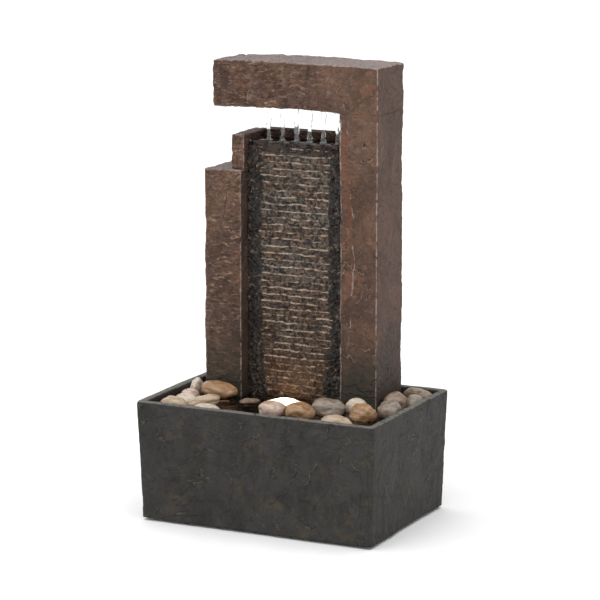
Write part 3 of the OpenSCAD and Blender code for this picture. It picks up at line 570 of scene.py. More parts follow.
def lit_lens():
    """The lamp's frosted lens: brightest in the middle, with a warm rim."""
    f = Finish("lit_lens", Transmission_Weight=0.2, IOR=1.45, Emission_Strength=4.0)
    centred = f.shift(-lens_mid[0] * MM, -lens_mid[1] * MM, 0, (1, 1, 0))
    away = f.node("VectorMath", {"operation": "LENGTH"}, {0: centred}).outputs["Value"]
    frost = f.noise(0.8, 3, 0.6)
    warm = f.mix(f.span(away, 0.004, 0.017), (1.0, 0.93, 0.80, 1), (1.0, 0.66, 0.34, 1))
    warm = f.over(warm, (1.0, 0.8, 0.55, 1), frost, 0.15)
    f.put(f.shader.inputs["Emission Color"], warm)
    return f.done(rgb(244, 236, 220), f.span(frost, 0.3, 0.7, 0.15, 0.3), f.bump(frost, 0.05))


# ---------------- the tower's stone

STEP = 1.35      # the gap between a block's points
SPLIT_D = 1.1                               # how deep the column's split is
SIDE_ARCH_H, FRONT_ARCH_H = 59, 30          # the water's ways through the column's foot


def corner(p, r=2.6, seed=5):
    """How round a block is at points p: a worn edge with tighter and looser stretches."""
    k = r * (0.75 + 0.45 * fbm(p, 26.0, 2, seed))
    return np.stack([k, k, k], 1)


def beam_radius(p):
    r = corner(p, 2.8, 6)
    over = ramp01(p[:, 0], column_lo[0] - 2, column_lo[0] + 2)
    over += ramp01(p[:, 0], pillar_hi[0] - 12, pillar_hi[0] - 16)
    low = (p[:, 2] < beam_lo[2] + 6) * np.clip(over, 0, 1)
    r[:, 2] = r[:, 2] * (1 - low) + 0.5 * low
    return r


def beam_relief(p):
    """Chiselled at the left, smoother over the column."""
    left = ramp01(p[:, 0], 26, -22)
    return slate(p, 11, 0.25 + 0.75 * left, 0.75 + 0.25 * (1 - left))


def beam_warp(q, p):
    """The top is a little crowned, and the underside sags and waves."""
    u = (p[:, 0] - beam_lo[0]) / (beam_hi[0] - beam_lo[0])
    v = (p[:, 1] - beam_lo[1]) / (beam_hi[1] - beam_lo[1])
    top = ramp01(p[:, 2], beam_lo[2] + 14, beam_hi[2])
    q = q.copy()
    q[:, 2] -= top * (2.6 * (2 * u - 1) ** 2 * (0.35 + 0.65 * v) + 0.5 * (1 - v))
    open_bay = ramp01(p[:, 0], pillar_hi[0] - 6, pillar_hi[0] + 14)
    open_bay *= ramp01(p[:, 0], column_lo[0], column_lo[0] - 12)
    low = ramp01(p[:, 2], beam_lo[2] + 10, beam_lo[2])
    q[:, 2] += low * open_bay * (0.9 + 1.1 * fbm(p, (38.0, 60.0, 60.0), 2, 21))
    return q


def column_radius(p):
    r = corner(p, 2.7, 8)
    high = p[:, 2] > column_hi[2] - 6
    r[high, 2] = 0.4
    return r


def split_line(p):
    """Where the long split down the column's front runs, in x."""
    return 52.5 + 4.0 * np.sin(p[:, 2] / 46.0 + 2) + 3.4 * fbm(p * [0, 0, 1], 17.0, 3, 2)


def column_relief(p):
    depth, tone = slate(p, 24, 0.22, 1.0, 44.0)
    line = split_line(p)
    front = p[:, 1] < column_lo[1] + 0.01
    return np.where(front, depth - SPLIT_D * ramp01(p[:, 0], line + 0.7, line - 0.7), depth), tone


def shell_room(lo, hi, foot=0.0, head=SHELL):
    """The hollow behind a block's front: open at the back, and at the foot where foot is negative."""
    return ("box", (lo[0] + SHELL, lo[1] + SHELL, lo[2] + foot),
            (hi[0] - SHELL, hi[1] + 20, hi[2] - head))


def over_column(p):
    """1 where the beam meets the column."""
    low = ramp01(p[:, 2], beam_lo[2] + 7, beam_lo[2] + 3)
    return ramp01(p[:, 0], column_lo[0] - 3, column_lo[0] + 3) * low


def column_streak(p):
    """The rust-red face left of the column's long split, and a painted highlight along its broken edge."""
    line = split_line(p)
    front = (p[:, 1] < column_lo[1] + 0.01) * ramp01(p[:, 2], 398, 380) * ramp01(p[:, 2], 120, 200)
    near = ramp01(p[:, 0], line - 13, line - 2) * ramp01(p[:, 0], line + 0.6, line - 0.4)
    patch = ramp01(fbm(p, (12, 12, 40), 3, 44), -0.35, 0.25)
    # crest paints a highlight along the split's lit ridge; it goes into the edge mark.
    crest = ramp01(np.abs(p[:, 0] - line), 1.3, 0.5) * front * ramp01(fbm(p, (9, 9, 14), 3, 46), -0.25, 0.05)
    return {"streak": near * front * patch, "edge": 0.6 * crest}


beam = block("beam_stone", beam_lo, beam_hi, STEP, beam_radius, beam_relief, beam_warp, over_column)
bay_mid = (panel_lo[0] + panel_hi[0]) / 2
STREAMS = [bay_mid + (i - 2.5) * 15.0 for i in range(6)]
stream_y = (bar_lo[1] + bar_hi[1]) / 2
tube_lo, tube_hi = limits("riser_tube")
riser = (tube_lo + tube_hi) / 2
cut(beam, [shell_room(beam_lo, beam_hi, SHELL),
           ("rod", (riser[0], riser[1], beam_lo[2] - 5), (riser[0], riser[1], beam_lo[2] + 8), 7.5)]
    + [("rod", (x, stream_y, beam_lo[2] - 5), (x, stream_y, beam_lo[2] + 8), 3.0) for x in STREAMS])
place(beam, M["rust_slate"], "tower", "rust_slate", "beam")

column = block("column_stone", column_lo, column_hi + (0, 0, 0.8), STEP, column_radius, column_relief, None,
               lambda p: ramp01(p[:, 2], column_hi[2] - 8, column_hi[2] - 3), column_streak)
cut(column, [shell_room(column_lo, column_hi, -20, -20),
             ("box", (column_lo[0] - 8, column_lo[1] + SHELL + 2, column_lo[2] - 8),
              (column_lo[0] + SHELL + 1, panel_lo[1] + 5, column_lo[2] + SIDE_ARCH_H)),
             ("box", (column_lo[0] + 2 * SHELL, column_lo[1] - 8, column_lo[2] - 8),
              (column_hi[0] - 2 * SHELL, column_lo[1] + SHELL + 1, column_lo[2] + FRONT_ARCH_H))])
place(column, M["rust_slate"], "tower", "rust_slate", "column")

pillar = block("pillar_stone", pillar_lo, pillar_hi, STEP, lambda p: corner(p, 3.0, 9),
               lambda p: slate(p, 37, 0.55, 0.9))
cut(pillar, [shell_room(pillar_lo, pillar_hi, -20)])
place(pillar, M["rust_slate"], "tower", "rust_slate", "pillar")

step = block("step_stone", step_lo, step_hi, STEP, lambda p: corner(p, 1.8, 12),
             lambda p: slate(p, 41, 0.35, 0.7, 26.0))
place(step, M["rust_slate"], "tower", "rust_slate", "pillar_step")

# ---------------- the basin

NOTCH_GAP = 1.4             # how far the grommet's flange laps over the notch


def lean(z):
    """How far the basin's outside lies in from its rim at height z."""
    return BATTER * (basin_hi[2] - z) / (basin_hi[2] - basin_lo[2])


def basin_columns():
    """Places round the rim. Each column of points has its place along x and y, from -1 to 1, and
    its outward direction."""
    w, d = basin_hi[0], basin_hi[1]
    gap = STEP + 0.15
    notch = (grommet_lo[0] + NOTCH_GAP, grommet_hi[0] - NOTCH_GAP)

    def along(half):
        n = int(2 * half / gap)
        return list(np.linspace(-1, 1, n + 1))

    arcs = [math.radians(a) for a in (15, 30, 45, 60, 75)]
    cols = [(t, -1, 0, -1) for t in along(w)]                       # front, left to right
    cols += [(1, -1, math.sin(a), -math.cos(a)) for a in arcs]
    cols += [(1, t, 1, 0) for t in along(d)]                        # right side, front to back
    cols += [(1, 1, math.cos(a), math.sin(a)) for a in arcs]
    edges = [x / (w - CORNER_R) for n in notch for x in (n - 0.04, n + 0.04)]
    cols += [(t, 1, 0, 1) for t in sorted(along(w) + edges)[::-1]]  # back, right to left
    cols += [(-1, 1, -math.sin(a), math.cos(a)) for a in arcs]
    cols += [(-1, t, -1, 0) for t in along(d)[::-1]]                # left side, back to front
    cols += [(-1, -1, -math.cos(a), -math.sin(a)) for a in arcs]
    return np.array(cols), notch


def make_basin():
    cols, notch = basin_columns()
    n = len(cols)
    top, foot = basin_hi[2], basin_lo[2]
    rows = []                                            # inset from the rim's edge, height, relief weight
    for z in np.linspace(foot, top - 1.6, int((top - foot) / (STEP + 0.1))):
        rows.append((lean(z), z, 1.0))
    rows += [(0.5, top - 0.5, 0.8), (1.5, top, 0.35), (2.7, top, 0.3), (3.9, top, 0.3), (5.3, top, 0.3),
             (6.4, top - 0.4, 0.3)]
    first_inside = len(rows) - 1                         # the rim's last row already faces inward
    for z in (top - 1.8, top - 4, top - 7, top - 10, top - 13, LEDGE_Z + 0.3):
        rows.append((lean(z) + BASIN_WALL, z, 0.3))
    ledge_rows = [(0.0, 0.0), (0.3, 0.0), (LEDGE_W - 0.3, 0.0), (LEDGE_W, -0.3), (LEDGE_W, -8.0)]
    first_ledge = len(rows)
    for out, dz in ledge_rows:
        z = LEDGE_Z + dz
        rows.append((lean(z) + BASIN_WALL + out, z, 0.0))
    rows.append((lean(FLOOR_Z) + BASIN_WALL + LEDGE_W, FLOOR_Z + 1, 0.0))
    rows.append((lean(FLOOR_Z) + BASIN_WALL + LEDGE_W + 1, FLOOR_Z, 0.0))
    rim_x = cols[:, 0] * (basin_hi[0] - CORNER_R)
    at_back = cols[:, 3] > 0.99
    room = at_back & (rim_x > pillar_lo[0] - 2) & (rim_x < column_hi[0] + 2)
    notched = at_back & (rim_x > notch[0]) & (rim_x < notch[1])
    points, weights = [], []
    for k, (inset, z, weight) in enumerate(rows):
        inset = np.full(n, inset)
        if k >= first_ledge:
            inset = np.where(room, np.minimum(inset, lean(z) + BASIN_WALL), inset)
        x = cols[:, 0] * (basin_hi[0] - inset - CORNER_R) + cols[:, 2] * CORNER_R
        y = cols[:, 1] * (basin_hi[1] - inset - CORNER_R) + cols[:, 3] * CORNER_R
        height = np.where(notched, min(z, grommet_lo[2] + NOTCH_GAP), z)
        points.append(np.stack([x, y, height], 1))
        weights.append(np.full(n, weight))
    p = np.concatenate(points)
    w = np.concatenate(weights)
    normal = np.tile(np.stack([cols[:, 2], cols[:, 3], np.zeros(n)], 1), (len(rows), 1))
    depth, tone = slate(p, 53, 0.30, 1.5, 52.0)
    rim = ramp01(p[:, 2], top - 2.2, top - 0.2)
    chip = np.clip(fbm(p, 12.0, 3, 66) - 0.22, 0, 1) * 2.4 * ramp01(p[:, 2], top - 4, top - 0.3)
    leftward = ramp01(-cols[:, 2], 0.3, 1.0)
    swell = np.tile(leftward, len(rows)) * w * (1.4 + 0.8 * fbm(p, (60, 60, 34), 2, 88))
    outside = np.repeat(np.arange(len(rows)) < first_inside, n)
    outer = (depth * 0.8 + 0.3 - chip * 0.8) * w + swell
    q = p + normal * np.where(outside, outer, 0.4 * w * fbm(p, 8.0, 3, 81))[:, None]
    q[:, 2] += np.where(p[:, 2] > top - 2, 0.25 * fbm(p, (20, 20, 20), 3, 77) - 0.1 - 0.3 * chip, 0)
    # The rim's edge mark makes its top pale: wear, and a painted highlight of the light from above.
    edge = rim * (0.7 + 0.2 * fbm(p, 12.0, 3, 71))
    ring = np.arange(len(rows) * n).reshape(-1, n)
    quads = []
    for a, above in zip(ring, ring[1:]):
        quads += np.stack([a, np.roll(a, -1), np.roll(above, -1), above], 1).tolist()
    total = len(q)
    q = np.concatenate([q, [[0, 0, foot], [0, 0, FLOOR_Z]]])
    last = (len(rows) - 1) * n
    for i in range(n):
        j = (i + 1) % n
        quads.append([total, j, i])
        quads.append([total + 1, last + i, last + j])
    marks = {"relief": np.append(tone, [1, 1]), "edge": np.append(np.clip(edge, 0, 1), [0, 0])}
    return make_mesh("basin_stone", q, quads, marks)


place(make_basin(), M["basin_slate"], "root", "basin_slate", "basin")

# ---------------- the cascade


def slab(name, points, shape, axis, level, marks=None):
    """A closed sheet: a grid of points, and a flat far side where the given axis is at level."""
    idx = np.arange(len(points)).reshape(shape)
    rim = np.concatenate([idx[:, 0], idx[-1, 1:], idx[::-1, -1][1:], idx[0, ::-1][1:-1]])
    ring = len(points) + np.arange(len(rim))
    after = np.roll(np.arange(len(rim)), -1)
    sides = np.stack([rim, ring, ring[after], rim[after]], 1)
    faces = [list(f) for f in np.concatenate([grid_quads(idx), sides])] + [list(ring[::-1])]
    far = points[rim]
    far[:, axis] = level
    values = {k: np.append(v, np.zeros(len(rim))) for k, v in (marks or {}).items()}
    return make_mesh(name, np.concatenate([points, far]), faces, values)


RIB_PITCH, RIB_D = 7.0, 2.8
BORDER = 18.0               # the rough rock at each side of the ribs
PANEL_Y = panel_hi[1] - 5.5 # the face that the ribs stand on


def make_panel():
    """Ribs like thin broken ledges, between two borders of rough rock that widen near the foot."""
    gap = 0.62
    xs = np.linspace(panel_lo[0], panel_hi[0], int((panel_hi[0] - panel_lo[0]) / gap))
    top = panel_hi[2] + RIB_PITCH
    zs = np.linspace(panel_lo[2], top, int((top - panel_lo[2]) / gap))
    gx, gz = np.meshgrid(xs, zs, indexing="ij")
    p = np.stack([gx.ravel(), np.zeros(gx.size), gz.ravel()], 1)
    x, z = p[:, 0], p[:, 2]
    sway = 1.5 * fbm(p, (16, 1, 9), 3, 101) + 0.6 * fbm(p, (4, 1, 5), 2, 102)
    t = (z + sway - panel_hi[2]) / RIB_PITCH
    k = np.floor(t)
    f = t - k
    shelf = (0.35 + 0.25 * ramp01(f, 0.0, 0.7) + 0.4 * ramp01(f, 0.70, 0.80)) * ramp01(f, 1.0, 0.92)
    rib_id = np.stack([x, k * 31.7, k * 3.1], 1)
    chunk, _ = facets(rib_id, (8.5, 1.0, 1.0), 107)
    size = 0.72 + 0.45 * chunk + 0.25 * fbm(p, (9, 1, 4), 3, 108)
    crumble = fbm(p, 2.2, 3, 109)
    rib = RIB_D * np.clip(shelf * np.clip(size, 0.35, 1.15), 0, 1.1)
    rib += 1.15 * crumble * (1 - 0.6 * ramp01(f, 0.7, 0.8))
    side = np.minimum(x - panel_lo[0], panel_hi[0] - 3 - x)
    width = BORDER * (0.80 + 0.28 * fbm(p, (30, 1, 12), 3, 110)) * (1 + 0.5 * ramp01(z, 190, 115))
    rock = ramp01(side, width + 1.0, width - 2.0)
    lumps, crack = facets(p + 2 * crumble[:, None], (10, 1, 12), 111)
    rough = 3.3 + 2.0 * lumps + 0.8 * fbm(p, 3.0, 3, 112) - 0.9 * (1 - ramp01(crack, 0.02, 0.16))
    height = rib * (1 - rock) + np.clip(rough, 0.4, 5.6) * rock
    height *= ramp01(z, deck_hi[2] - 6, deck_hi[2] + 3)
    # tone is low between the ribs, where the finish paints shade.
    tone = (0.42 + 0.35 * shelf * size) * (1 - rock) + (0.35 + 0.35 * lumps) * rock
    tone = np.clip(tone + 0.75 * crumble, 0, 1)
    # lip marks the ribs' broken lips, where the finish paints glints.
    lip = ramp01(f, 0.72, 0.82) * ramp01(f, 1.0, 0.95) * (1 - rock) * np.clip(size, 0, 1)
    marks = {"relief": tone, "edge": lip * (0.62 + 0.6 * fbm(p, 5.0, 3, 115)), "rocky": rock}
    p[:, 1] = PANEL_Y - height
    return slab("cascade_rock", p, gx.shape, 1, panel_hi[1], marks)


def panel_finish():
    """Wet ribs: painted shade in the hollows, painted glints on the broken lips, brown and olive bands, and
    the lamp's warm light painted on the stone near the foot.
    """
    f = Finish("cascade_wet", Specular_IOR_Level=0.35, Coat_Weight=0.12, Coat_Roughness=0.1)
    relief, lip, rocky = f.mark("relief"), f.mark("edge"), f.mark("rocky")
    band = f.noise(20, 5, 0.6, 0.6, f.shift(4, 0, 2, (0.5, 1, 1.6)))
    olive = f.noise(26, 5, 0.6, 0.8, f.shift(1, 8, 3))
    fine = f.noise(1.5, 4, 0.7)
    crumb = f.noise(4.2, 4, 0.62, 0.9, f.shift(6, 2, 9))
    colour = f.mix(f.span(band, 0.38, 0.62), rgb(94, 68, 50), rgb(102, 86, 72))
    colour = f.over(colour, rgb(82, 80, 64), f.span(olive, 0.50, 0.64), 0.45)
    colour = f.over(colour, rgb(80, 78, 74), f.span(band, 0.50, 0.60), 0.5)
    colour = f.over(colour, rgb(22, 15, 11), f.span(crumb, 0.50, 0.41), 0.92)
    # Painted shade in the hollows between the ribs.
    colour = f.over(colour, rgb(24, 16, 12), f.span(relief, 0.62, 0.28), 0.92)
    height = f.math("ADD", f.axis(2), f.times(f.math("SUBTRACT", olive, 0.5), 0.1))
    # Painted lamp light: a warm brown that grows towards the panel's foot, near the lamp.
    colour = f.over(colour, rgb(64, 40, 24), f.span(height, 0.21, 0.12), 0.72)
    colour = f.over(colour, rgb(36, 31, 27), rocky, 0.85)
    colour = f.over(colour, rgb(146, 128, 110), f.span(crumb, 0.55, 0.66), 0.6)
    # Painted glints on the lips of the ribs.
    glint = f.times(f.span(lip, 0.18, 0.6), f.span(fine, 0.34, 0.54, 0.3, 1.0))
    glint = f.times(glint, f.span(height, 0.115, 0.15, 0.3, 1.0))
    colour = f.over(colour, rgb(182, 166, 148), glint, 0.9)
    return f.done(colour, f.span(fine, 0.35, 0.7, 0.24, 0.5), f.bump(fine, 0.5, f.bump(crumb, 1.6)))


panel = make_panel()
cut(panel, [("box", (x - 9, panel_lo[1] - 5, panel_lo[2] - 5), (x + 9, panel_hi[1] + 5, panel_lo[2] + 28))
            for x in (bay_mid - 32, bay_mid, bay_mid + 32)])     # the water's ways back to the pump
place(panel, panel_finish(), "tower", "wet_rock", "cascade_panel")

TROUGH_LIP = trough_lo[2] + 12.0    # the front wall is lower than the back one
trough = block("trough_rock", trough_lo + (0, 1.6, 0), (trough_hi[0], trough_hi[1], TROUGH_LIP + 0.6), 1.0,
               lambda p: corner(p, 2.8, 9), lambda p: slate(p, 61, 2.2, 1.0, 12.0))
cut(trough, [("box", (trough_lo[0] + 4, trough_lo[1] + 4, trough_lo[2] + 3),
              (trough_hi[0] - 4, trough_hi[1] - 4, trough_hi[2] + 5))])
place(trough, M["trough_rock"], "tower", "wet_rock", "trough")
rim = block("trough_back_rock", (trough_lo[0], trough_hi[1] - 5.0, TROUGH_LIP - 3), trough_hi, 1.0,
            lambda p: corner(p, 1.6, 15), lambda p: slate(p, 63, 1.3, 0.8, 14.0))
place(rim, M["rust_slate"], "tower", "rust_slate")

# ---------------- the back plate


def stops(values, gap):
    """Grid lines that meet every given value and are about gap apart."""
    values = sorted(set(values))
    parts = [np.linspace(a, b, max(2, int(round((b - a) / gap)) + 1)) for a, b in zip(values, values[1:])]
    return np.unique(np.round(np.concatenate(parts), 4))


def screw_places():
    """Middles of the heads of the back screws, in x and z."""
    co = np.array([v.co for v in nodes["back_screws"].data.vertices]) / MM
    heads = co[co[:, 1] > plate_hi[1] - 0.6][:, (0, 2)]
    groups = []
    for q in heads:
        for g in groups:
            if np.hypot(*(g[0] - q)) < 9:
                g.append(q)
                break
        else:
            groups.append([q])
    return [(np.min(g, 0) + np.max(g, 0)) / 2 for g in groups]


def make_back():
    """The removable back: a slab of slate in the CAD plate's outline, with dips for its screws."""
    x0, x1, z0, z1 = plate_lo[0], plate_hi[0], plate_lo[2], plate_hi[2]
    bay_top, shoulder, beam_foot = trough_hi[2], pillar_hi[2] - SHELL, beam_lo[2] + SHELL
    bay_x0, bay_x1, beam_x0 = panel_lo[0], panel_hi[0] + SHELL, beam_lo[0] + SHELL
    cord_x = (grommet_lo[0] + grommet_hi[0]) / 2
    slot_w, slot_top = 4.0, (grommet_lo[2] + grommet_hi[2]) / 2 + 4.0
    gap = 1.9
    xs = stops([x0, x1, bay_x0, bay_x1, beam_x0, cord_x - slot_w, cord_x + slot_w], gap)
    zs = stops([z0, z1, bay_top, shoulder, beam_foot, slot_top], gap)
    cx, cz = np.meshgrid((xs[:-1] + xs[1:]) / 2, (zs[:-1] + zs[1:]) / 2, indexing="ij")
    solid = (cz < shoulder) | ((cz < bay_top) & (cx > bay_x0)) | ((cz < beam_foot) & (cx > bay_x1))
    solid |= (cz > beam_foot) & (cx > beam_x0)
    solid &= ~((np.abs(cx - cord_x) < slot_w) & (cz < slot_top))
    gx, gz = np.meshgrid(xs, zs, indexing="ij")
    p = np.stack([gx.ravel(), np.full(gx.size, plate_hi[1]), gz.ravel()], 1)
    depth, tone = slate(p, 83, 0.3, 0.8, 40.0)
    calm = np.ones(len(p))
    dip = np.zeros(len(p))
    for c in screw_places():
        far = np.hypot(p[:, 0] - c[0], p[:, 2] - c[1])
        calm *= ramp01(far, 4.0, 8.0)
        dip = np.maximum(dip, ramp01(far, 4.6, 3.0))
    rear = p.copy()
    rear[:, 1] += depth * calm * 0.8 - 1.6 * dip
    front = p.copy()
    front[:, 1] = plate_lo[1]
    idx = np.arange(gx.size).reshape(gx.shape)
    a, b, c, d = (g[solid] for g in (idx[:-1, :-1], idx[1:, :-1], idx[1:, 1:], idx[:-1, 1:]))
    shift = gx.size
    faces = [np.stack([a, d, c, b], 1), np.stack([a, b, c, d], 1) + shift]
    padded = np.pad(solid, 1)
    core = padded[1:-1, 1:-1]
    sides = ((padded[:-2, 1:-1], idx[:-1, :-1], idx[:-1, 1:]),
             (padded[2:, 1:-1], idx[1:, 1:], idx[1:, :-1]),
             (padded[1:-1, :-2], idx[1:, :-1], idx[:-1, :-1]),
             (padded[1:-1, 2:], idx[:-1, 1:], idx[1:, 1:]))
    for beside, s, e in sides:
        open_side = core & ~beside
        faces.append(np.stack([s[open_side], s[open_side] + shift, e[open_side] + shift, e[open_side]], 1))
    faces = np.concatenate(faces)
    used, flat = np.unique(faces, return_inverse=True)
    points = np.concatenate([rear, front])[used]
    marks = {"relief": np.concatenate([tone, tone])[used], "edge": np.zeros(len(used))}
    return make_mesh("back_slate", points, flat.reshape(faces.shape), marks, False)


place(make_back(), M["rust_slate_back"], "tower", "rust_slate_back", "back_plate")

# ---------------- water


def water_sheet(name, lo, hi, z, gap, ripple):
    """A closed sheet of water with a rippled top."""
    xs = np.linspace(lo[0], hi[0], int((hi[0] - lo[0]) / gap) + 2)
    ys = np.linspace(lo[1], hi[1], int((hi[1] - lo[1]) / gap) + 2)
    gx, gy = np.meshgrid(xs, ys, indexing="ij")
    p = np.stack([gx.ravel(), gy.ravel(), np.zeros(gx.size)], 1)
    p[:, 2] = z + ripple(p)
    return slab(name, p, gx.shape, 2, z - SHEET)


inset = lean(WATER_Z) + BASIN_WALL + 0.4
foot_y = panel_lo[1]


def pool_ripple(p):
    stir = np.exp(-np.abs(p[:, 1] - foot_y) / 26.0)
    return (0.25 + 0.9 * stir) * fbm(p, (9, 7, 1), 3, 201) + 0.25 * fbm(p, (30, 22, 1), 2, 202)


pool = water_sheet("pool_water", basin_lo[:2] + inset, basin_hi[:2] - inset, WATER_Z, 1.6, pool_ripple)
place(pool, water_pool, "root", "lens_glass")

trough_pool = water_sheet("trough_water", trough_lo[:2] + (4.2, 2.0), trough_hi[:2] - (4.2, 5.4),
                          TROUGH_LIP - 0.6, 1.2, lambda p: 0.7 * fbm(p, (6, 5, 1), 3, 203))
place(trough_pool, water_pool, "tower", "lens_glass")


def tube_faces(first, rows, sides):
    """Quads between rings of points, and a cap at the last ring; first is the first ring's first point."""
    faces = []
    for i in range(rows - 1):
        for s in range(sides):
            a, b = first + i * sides + s, first + i * sides + (s + 1) % sides
            faces.append([a, a + sides, b + sides, b])
    faces.append([first + (rows - 1) * sides + s for s in reversed(range(sides))])
    return faces


def stream_mesh():
    """Six threads of water from the drip holes down to the trough."""
    z0, z1 = beam_lo[2] + 4.0, TROUGH_LIP - 0.8
    rows, sides, radius = 46, 14, 2.7
    points, faces = [], []
    rng = np.random.default_rng(7)
    for x in STREAMS:
        base = len(points)
        phase = rng.uniform(0, 6.28, 6)
        for i in range(rows):
            t = i / (rows - 1)
            z = z0 + (z1 - z0) * t
            fall = math.sqrt(1 + 2.2 * t)
            r = radius / math.sqrt(fall) * (1 + 0.12 * math.sin(9 * t * 3 + phase[0]) * t)
            r *= 1 + 0.4 * max(0, t - 0.8) / 0.2
            dx = 0.55 * t * math.sin(7 * t + phase[1]) + 0.3 * t * math.sin(19 * t + phase[2])
            dy = 0.6 * t * math.sin(6 * t + phase[3])
            for s in range(sides):
                a = 2 * math.pi * s / sides
                flat = 1 + 0.22 * math.sin(2 * a + 10 * t + phase[4])
                points.append((x + dx + r * flat * math.cos(a), stream_y + dy + r * 0.85 * math.sin(a), z))
        faces += tube_faces(base, rows, sides)
        faces.append([base + s for s in range(sides)])
    return make_mesh("water_threads", points, faces)


place(stream_mesh(), water_clear, "tower", "lens_glass")


def ball(subdivisions):
    """Directions to the points of a round ball, and its faces."""
    bm = bmesh.new()
    bmesh.ops.create_icosphere(bm, subdivisions=subdivisions, radius=1.0)
    d = np.array([v.co for v in bm.verts])
    faces = np.array([[v.index for v in f.verts] for f in bm.faces])
    bm.free()
    return d, faces


def bubbles(name, centres, radii):
    d, faces = ball(2)
    points = np.concatenate([c + d * [r, r, r * 0.7] for c, r in zip(centres, radii)])
    all_faces = np.concatenate([faces + i * len(d) for i in range(len(centres))])
    return make_mesh(name, points, all_faces)


rng = np.random.default_rng(11)
centres, radii = [], []
for x in STREAMS:
    for _ in range(16):
        a, far = rng.uniform(0, 6.28), rng.uniform(0.5, 3.6)
        centres.append([x + far * math.cos(a), stream_y + far * 0.8 * math.sin(a),
                        TROUGH_LIP - 0.4 + rng.uniform(0, 1.6) * (4 - far) / 3])
        radii.append(rng.uniform(0.4, 1.1))
place(bubbles("trough_splash", centres, radii), foam_finish(), "tower", "lens_glass")


def lit_water_mesh():
    """The low mound of water that wells up over the lamp, painted to glow with the lamp's light where its
    glow mark is high.
    """
    rings, sides = 16, 56
    mid = lens_mid + (5.0, -0.5, 0)
    reach, swell = (25.0, 15.0), 4.8
    points, glow = [[mid[0], mid[1], WATER_Z + swell]], [1.0]
    for i in range(1, rings + 1):
        r = i / rings
        for s in range(sides):
            a = 2 * math.pi * s / sides
            points.append([mid[0] + reach[0] * r * math.cos(a), mid[1] + reach[1] * r * math.sin(a),
                           WATER_Z - 0.6 + (swell + 0.6) * (1 - r * r) ** 2])
            glow.append((1 - r * r) ** 1.2)
    points = np.array(points)
    points[:, 2] += 0.7 * fbm(points, 4.0, 3, 131) * np.array(glow)
    faces = [[0, 1 + s, 1 + (s + 1) % sides] for s in range(sides)] + tube_faces(1, rings, sides)
    return make_mesh("lit_water", points, faces, {"glow": glow})


def lit_water_finish():
    f = Finish("lit_water", Transmission_Weight=0.75, IOR=1.33, Emission_Strength=2.6)
    ripple = f.noise(3.0, 4, 0.6, 0.8)
    # Painted light: the water itself glows where the lamp lights it from below.
    power = f.times(f.span(f.mark("glow"), 0.05, 0.75), f.span(ripple, 0.30, 0.60, 0.45, 1.0))
    warm = f.mix(f.span(power, 0.3, 0.9), (1.0, 0.62, 0.30, 1), (1.0, 0.93, 0.78, 1))
    f.put(f.shader.inputs["Emission Color"], f.mix(power, (0, 0, 0, 1), warm))
    return f.done(rgb(206, 180, 146), f.span(ripple, 0.3, 0.7, 0.04, 0.12), f.bump(ripple, 0.3))


place(lit_water_mesh(), lit_water_finish(), "root", "lens_glass")

# ---------------- pebbles


def ellipsoid(node):
    """Centre, half lengths and axes (as columns) of a CAD pebble, fitted to its points."""
    co = np.array([v.co for v in nodes[node].data.vertices]) / MM
    centre = (co.min(0) + co.max(0)) / 2
    x, y, z = (co - centre).T
    rows = np.stack([x * x, y * y, z * z, 2 * x * y, 2 * x * z, 2 * y * z], 1)
    s = np.linalg.lstsq(rows, np.ones(len(rows)), rcond=None)[0]
    form = np.array([[s[0], s[3], s[4]], [s[3], s[1], s[5]], [s[4], s[5], s[2]]])
    values, axes = np.linalg.eigh(form)
    return centre, 1 / np.sqrt(values), axes


unit, unit_faces = ball(5)
for i in range(1, sum(n.startswith("pebble_") for n in nodes)):       # the deck is a pebble_ node too
    node = f"pebble_{i:02d}"
    centre, half, axes = ellipsoid(node)
    spread = fbm(unit + i * 7.3, 0.95, 2, 301 + i) * 0.26
    dent = np.clip(fbm(unit + i * 3.1, 0.62, 2, 331 + i) - 0.1, 0, 1) * 0.16
    pits = fbm(unit + i, 0.16, 3, 361) * 0.012
    power = 2.0 + 0.5 * lattice(np.array([i]), np.array([3]), np.array([5]), 9)[0]   # over 2 is boxier
    r = 1 / (np.abs(unit) ** power).sum(1) ** (1 / power)
    r = np.minimum(r * (1 + spread - dent + pits), 1.10)
    points = centre + (unit * r[:, None] * half) @ axes.T
    stone_mesh = make_mesh(node + "_stone", points, unit_faces)
    material_name = nodes[node].data.materials[0].name.split(".")[0]
    place(stone_mesh, M[material_name], "root", material_name, node)

# ---------------- CAD pieces that keep their shape

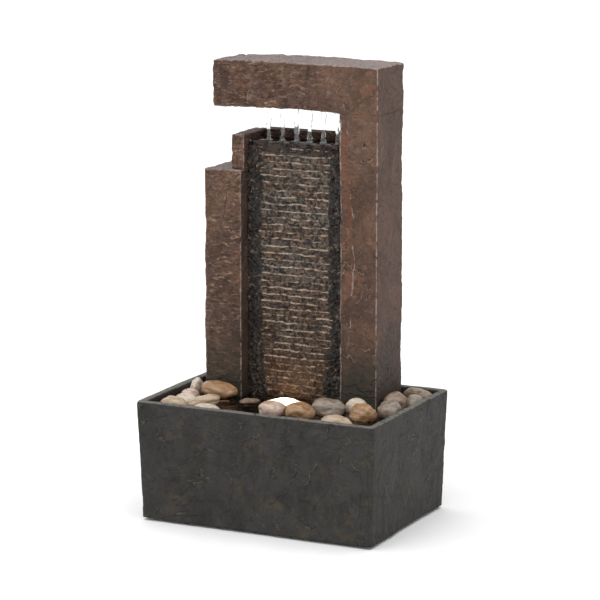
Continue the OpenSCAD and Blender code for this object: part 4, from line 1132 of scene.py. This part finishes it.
for name, obj in nodes.items():
    if obj.hide_render:
        continue
    slot_name = obj.data.materials[0].name.split(".")[0]
    finish = lit_lens() if name == "light_lens" else M[slot_name]
    obj.data.materials.clear()
    obj.data.materials.append(finish)
    bevel = obj.modifiers.new("soft_edges", "BEVEL")
    bevel.width, bevel.segments, bevel.limit_method = 0.25 * MM, 2, "ANGLE"
    bevel.angle_limit = math.radians(40)
    bevel.use_clamp_overlap = True

# ---------------- floor and light

FLOOR_HALF = 30.0           # in metres
floor_mesh = bpy.data.meshes.new("floor")
floor_mesh.from_pydata([(x * FLOOR_HALF, y * FLOOR_HALF, 0) for x, y in ((-1, -1), (1, -1), (1, 1), (-1, 1))],
                       [], [(0, 1, 2, 3)])
floor = add("floor", floor_mesh)
paper = Finish("paper", Specular_IOR_Level=0.1)
paper_tone = paper.mix(paper.span(paper.noise(60, 3), 0.3, 0.7), (0.93, 0.93, 0.93, 1), (0.95, 0.95, 0.95, 1))
floor_mesh.materials.append(paper.done(paper_tone, paper.span(paper.noise(30, 3), 0.3, 0.7, 0.75, 0.85),
                                       paper.bump(paper.noise(1.5, 4), 0.02)))

world = bpy.data.worlds.new("studio")
bpy.context.scene.world = world
world.use_nodes = True
sky = world.node_tree
backdrop = sky.nodes["Background"]
backdrop.inputs["Color"].default_value = (1, 1, 1, 1)
rays = sky.nodes.new("ShaderNodeLightPath")
level = sky.nodes.new("ShaderNodeMapRange")
sky.links.new(rays.outputs["Is Camera Ray"], level.inputs[0])
level.inputs[3].default_value, level.inputs[4].default_value = 0.90, 1.0     # for light, for the camera
sky.links.new(level.outputs[0], backdrop.inputs["Strength"])

KEY_FROM = (-0.14, -0.30, 1.0)      # high, and a little to the left and front
key_data = bpy.data.lights.new("key", "SUN")
key_data.energy, key_data.angle = 1.5, math.radians(80)
key = add("key", key_data)
aim(key, KEY_FROM, "Z")

lamp_data = bpy.data.lights.new("lamp", "AREA")
lamp_data.shape, lamp_data.size = "DISK", 0.026
lamp_data.energy, lamp_data.color = 0.009, (1.0, 0.74, 0.45)
lamp = add("lamp", lamp_data)
lamp.location = (lens_mid[0] * MM, lens_mid[1] * MM, (lens_hi[2] + 2.0) * MM)
aim(lamp, (0, 0.3, 1), "-Z")
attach(lamp, "root")
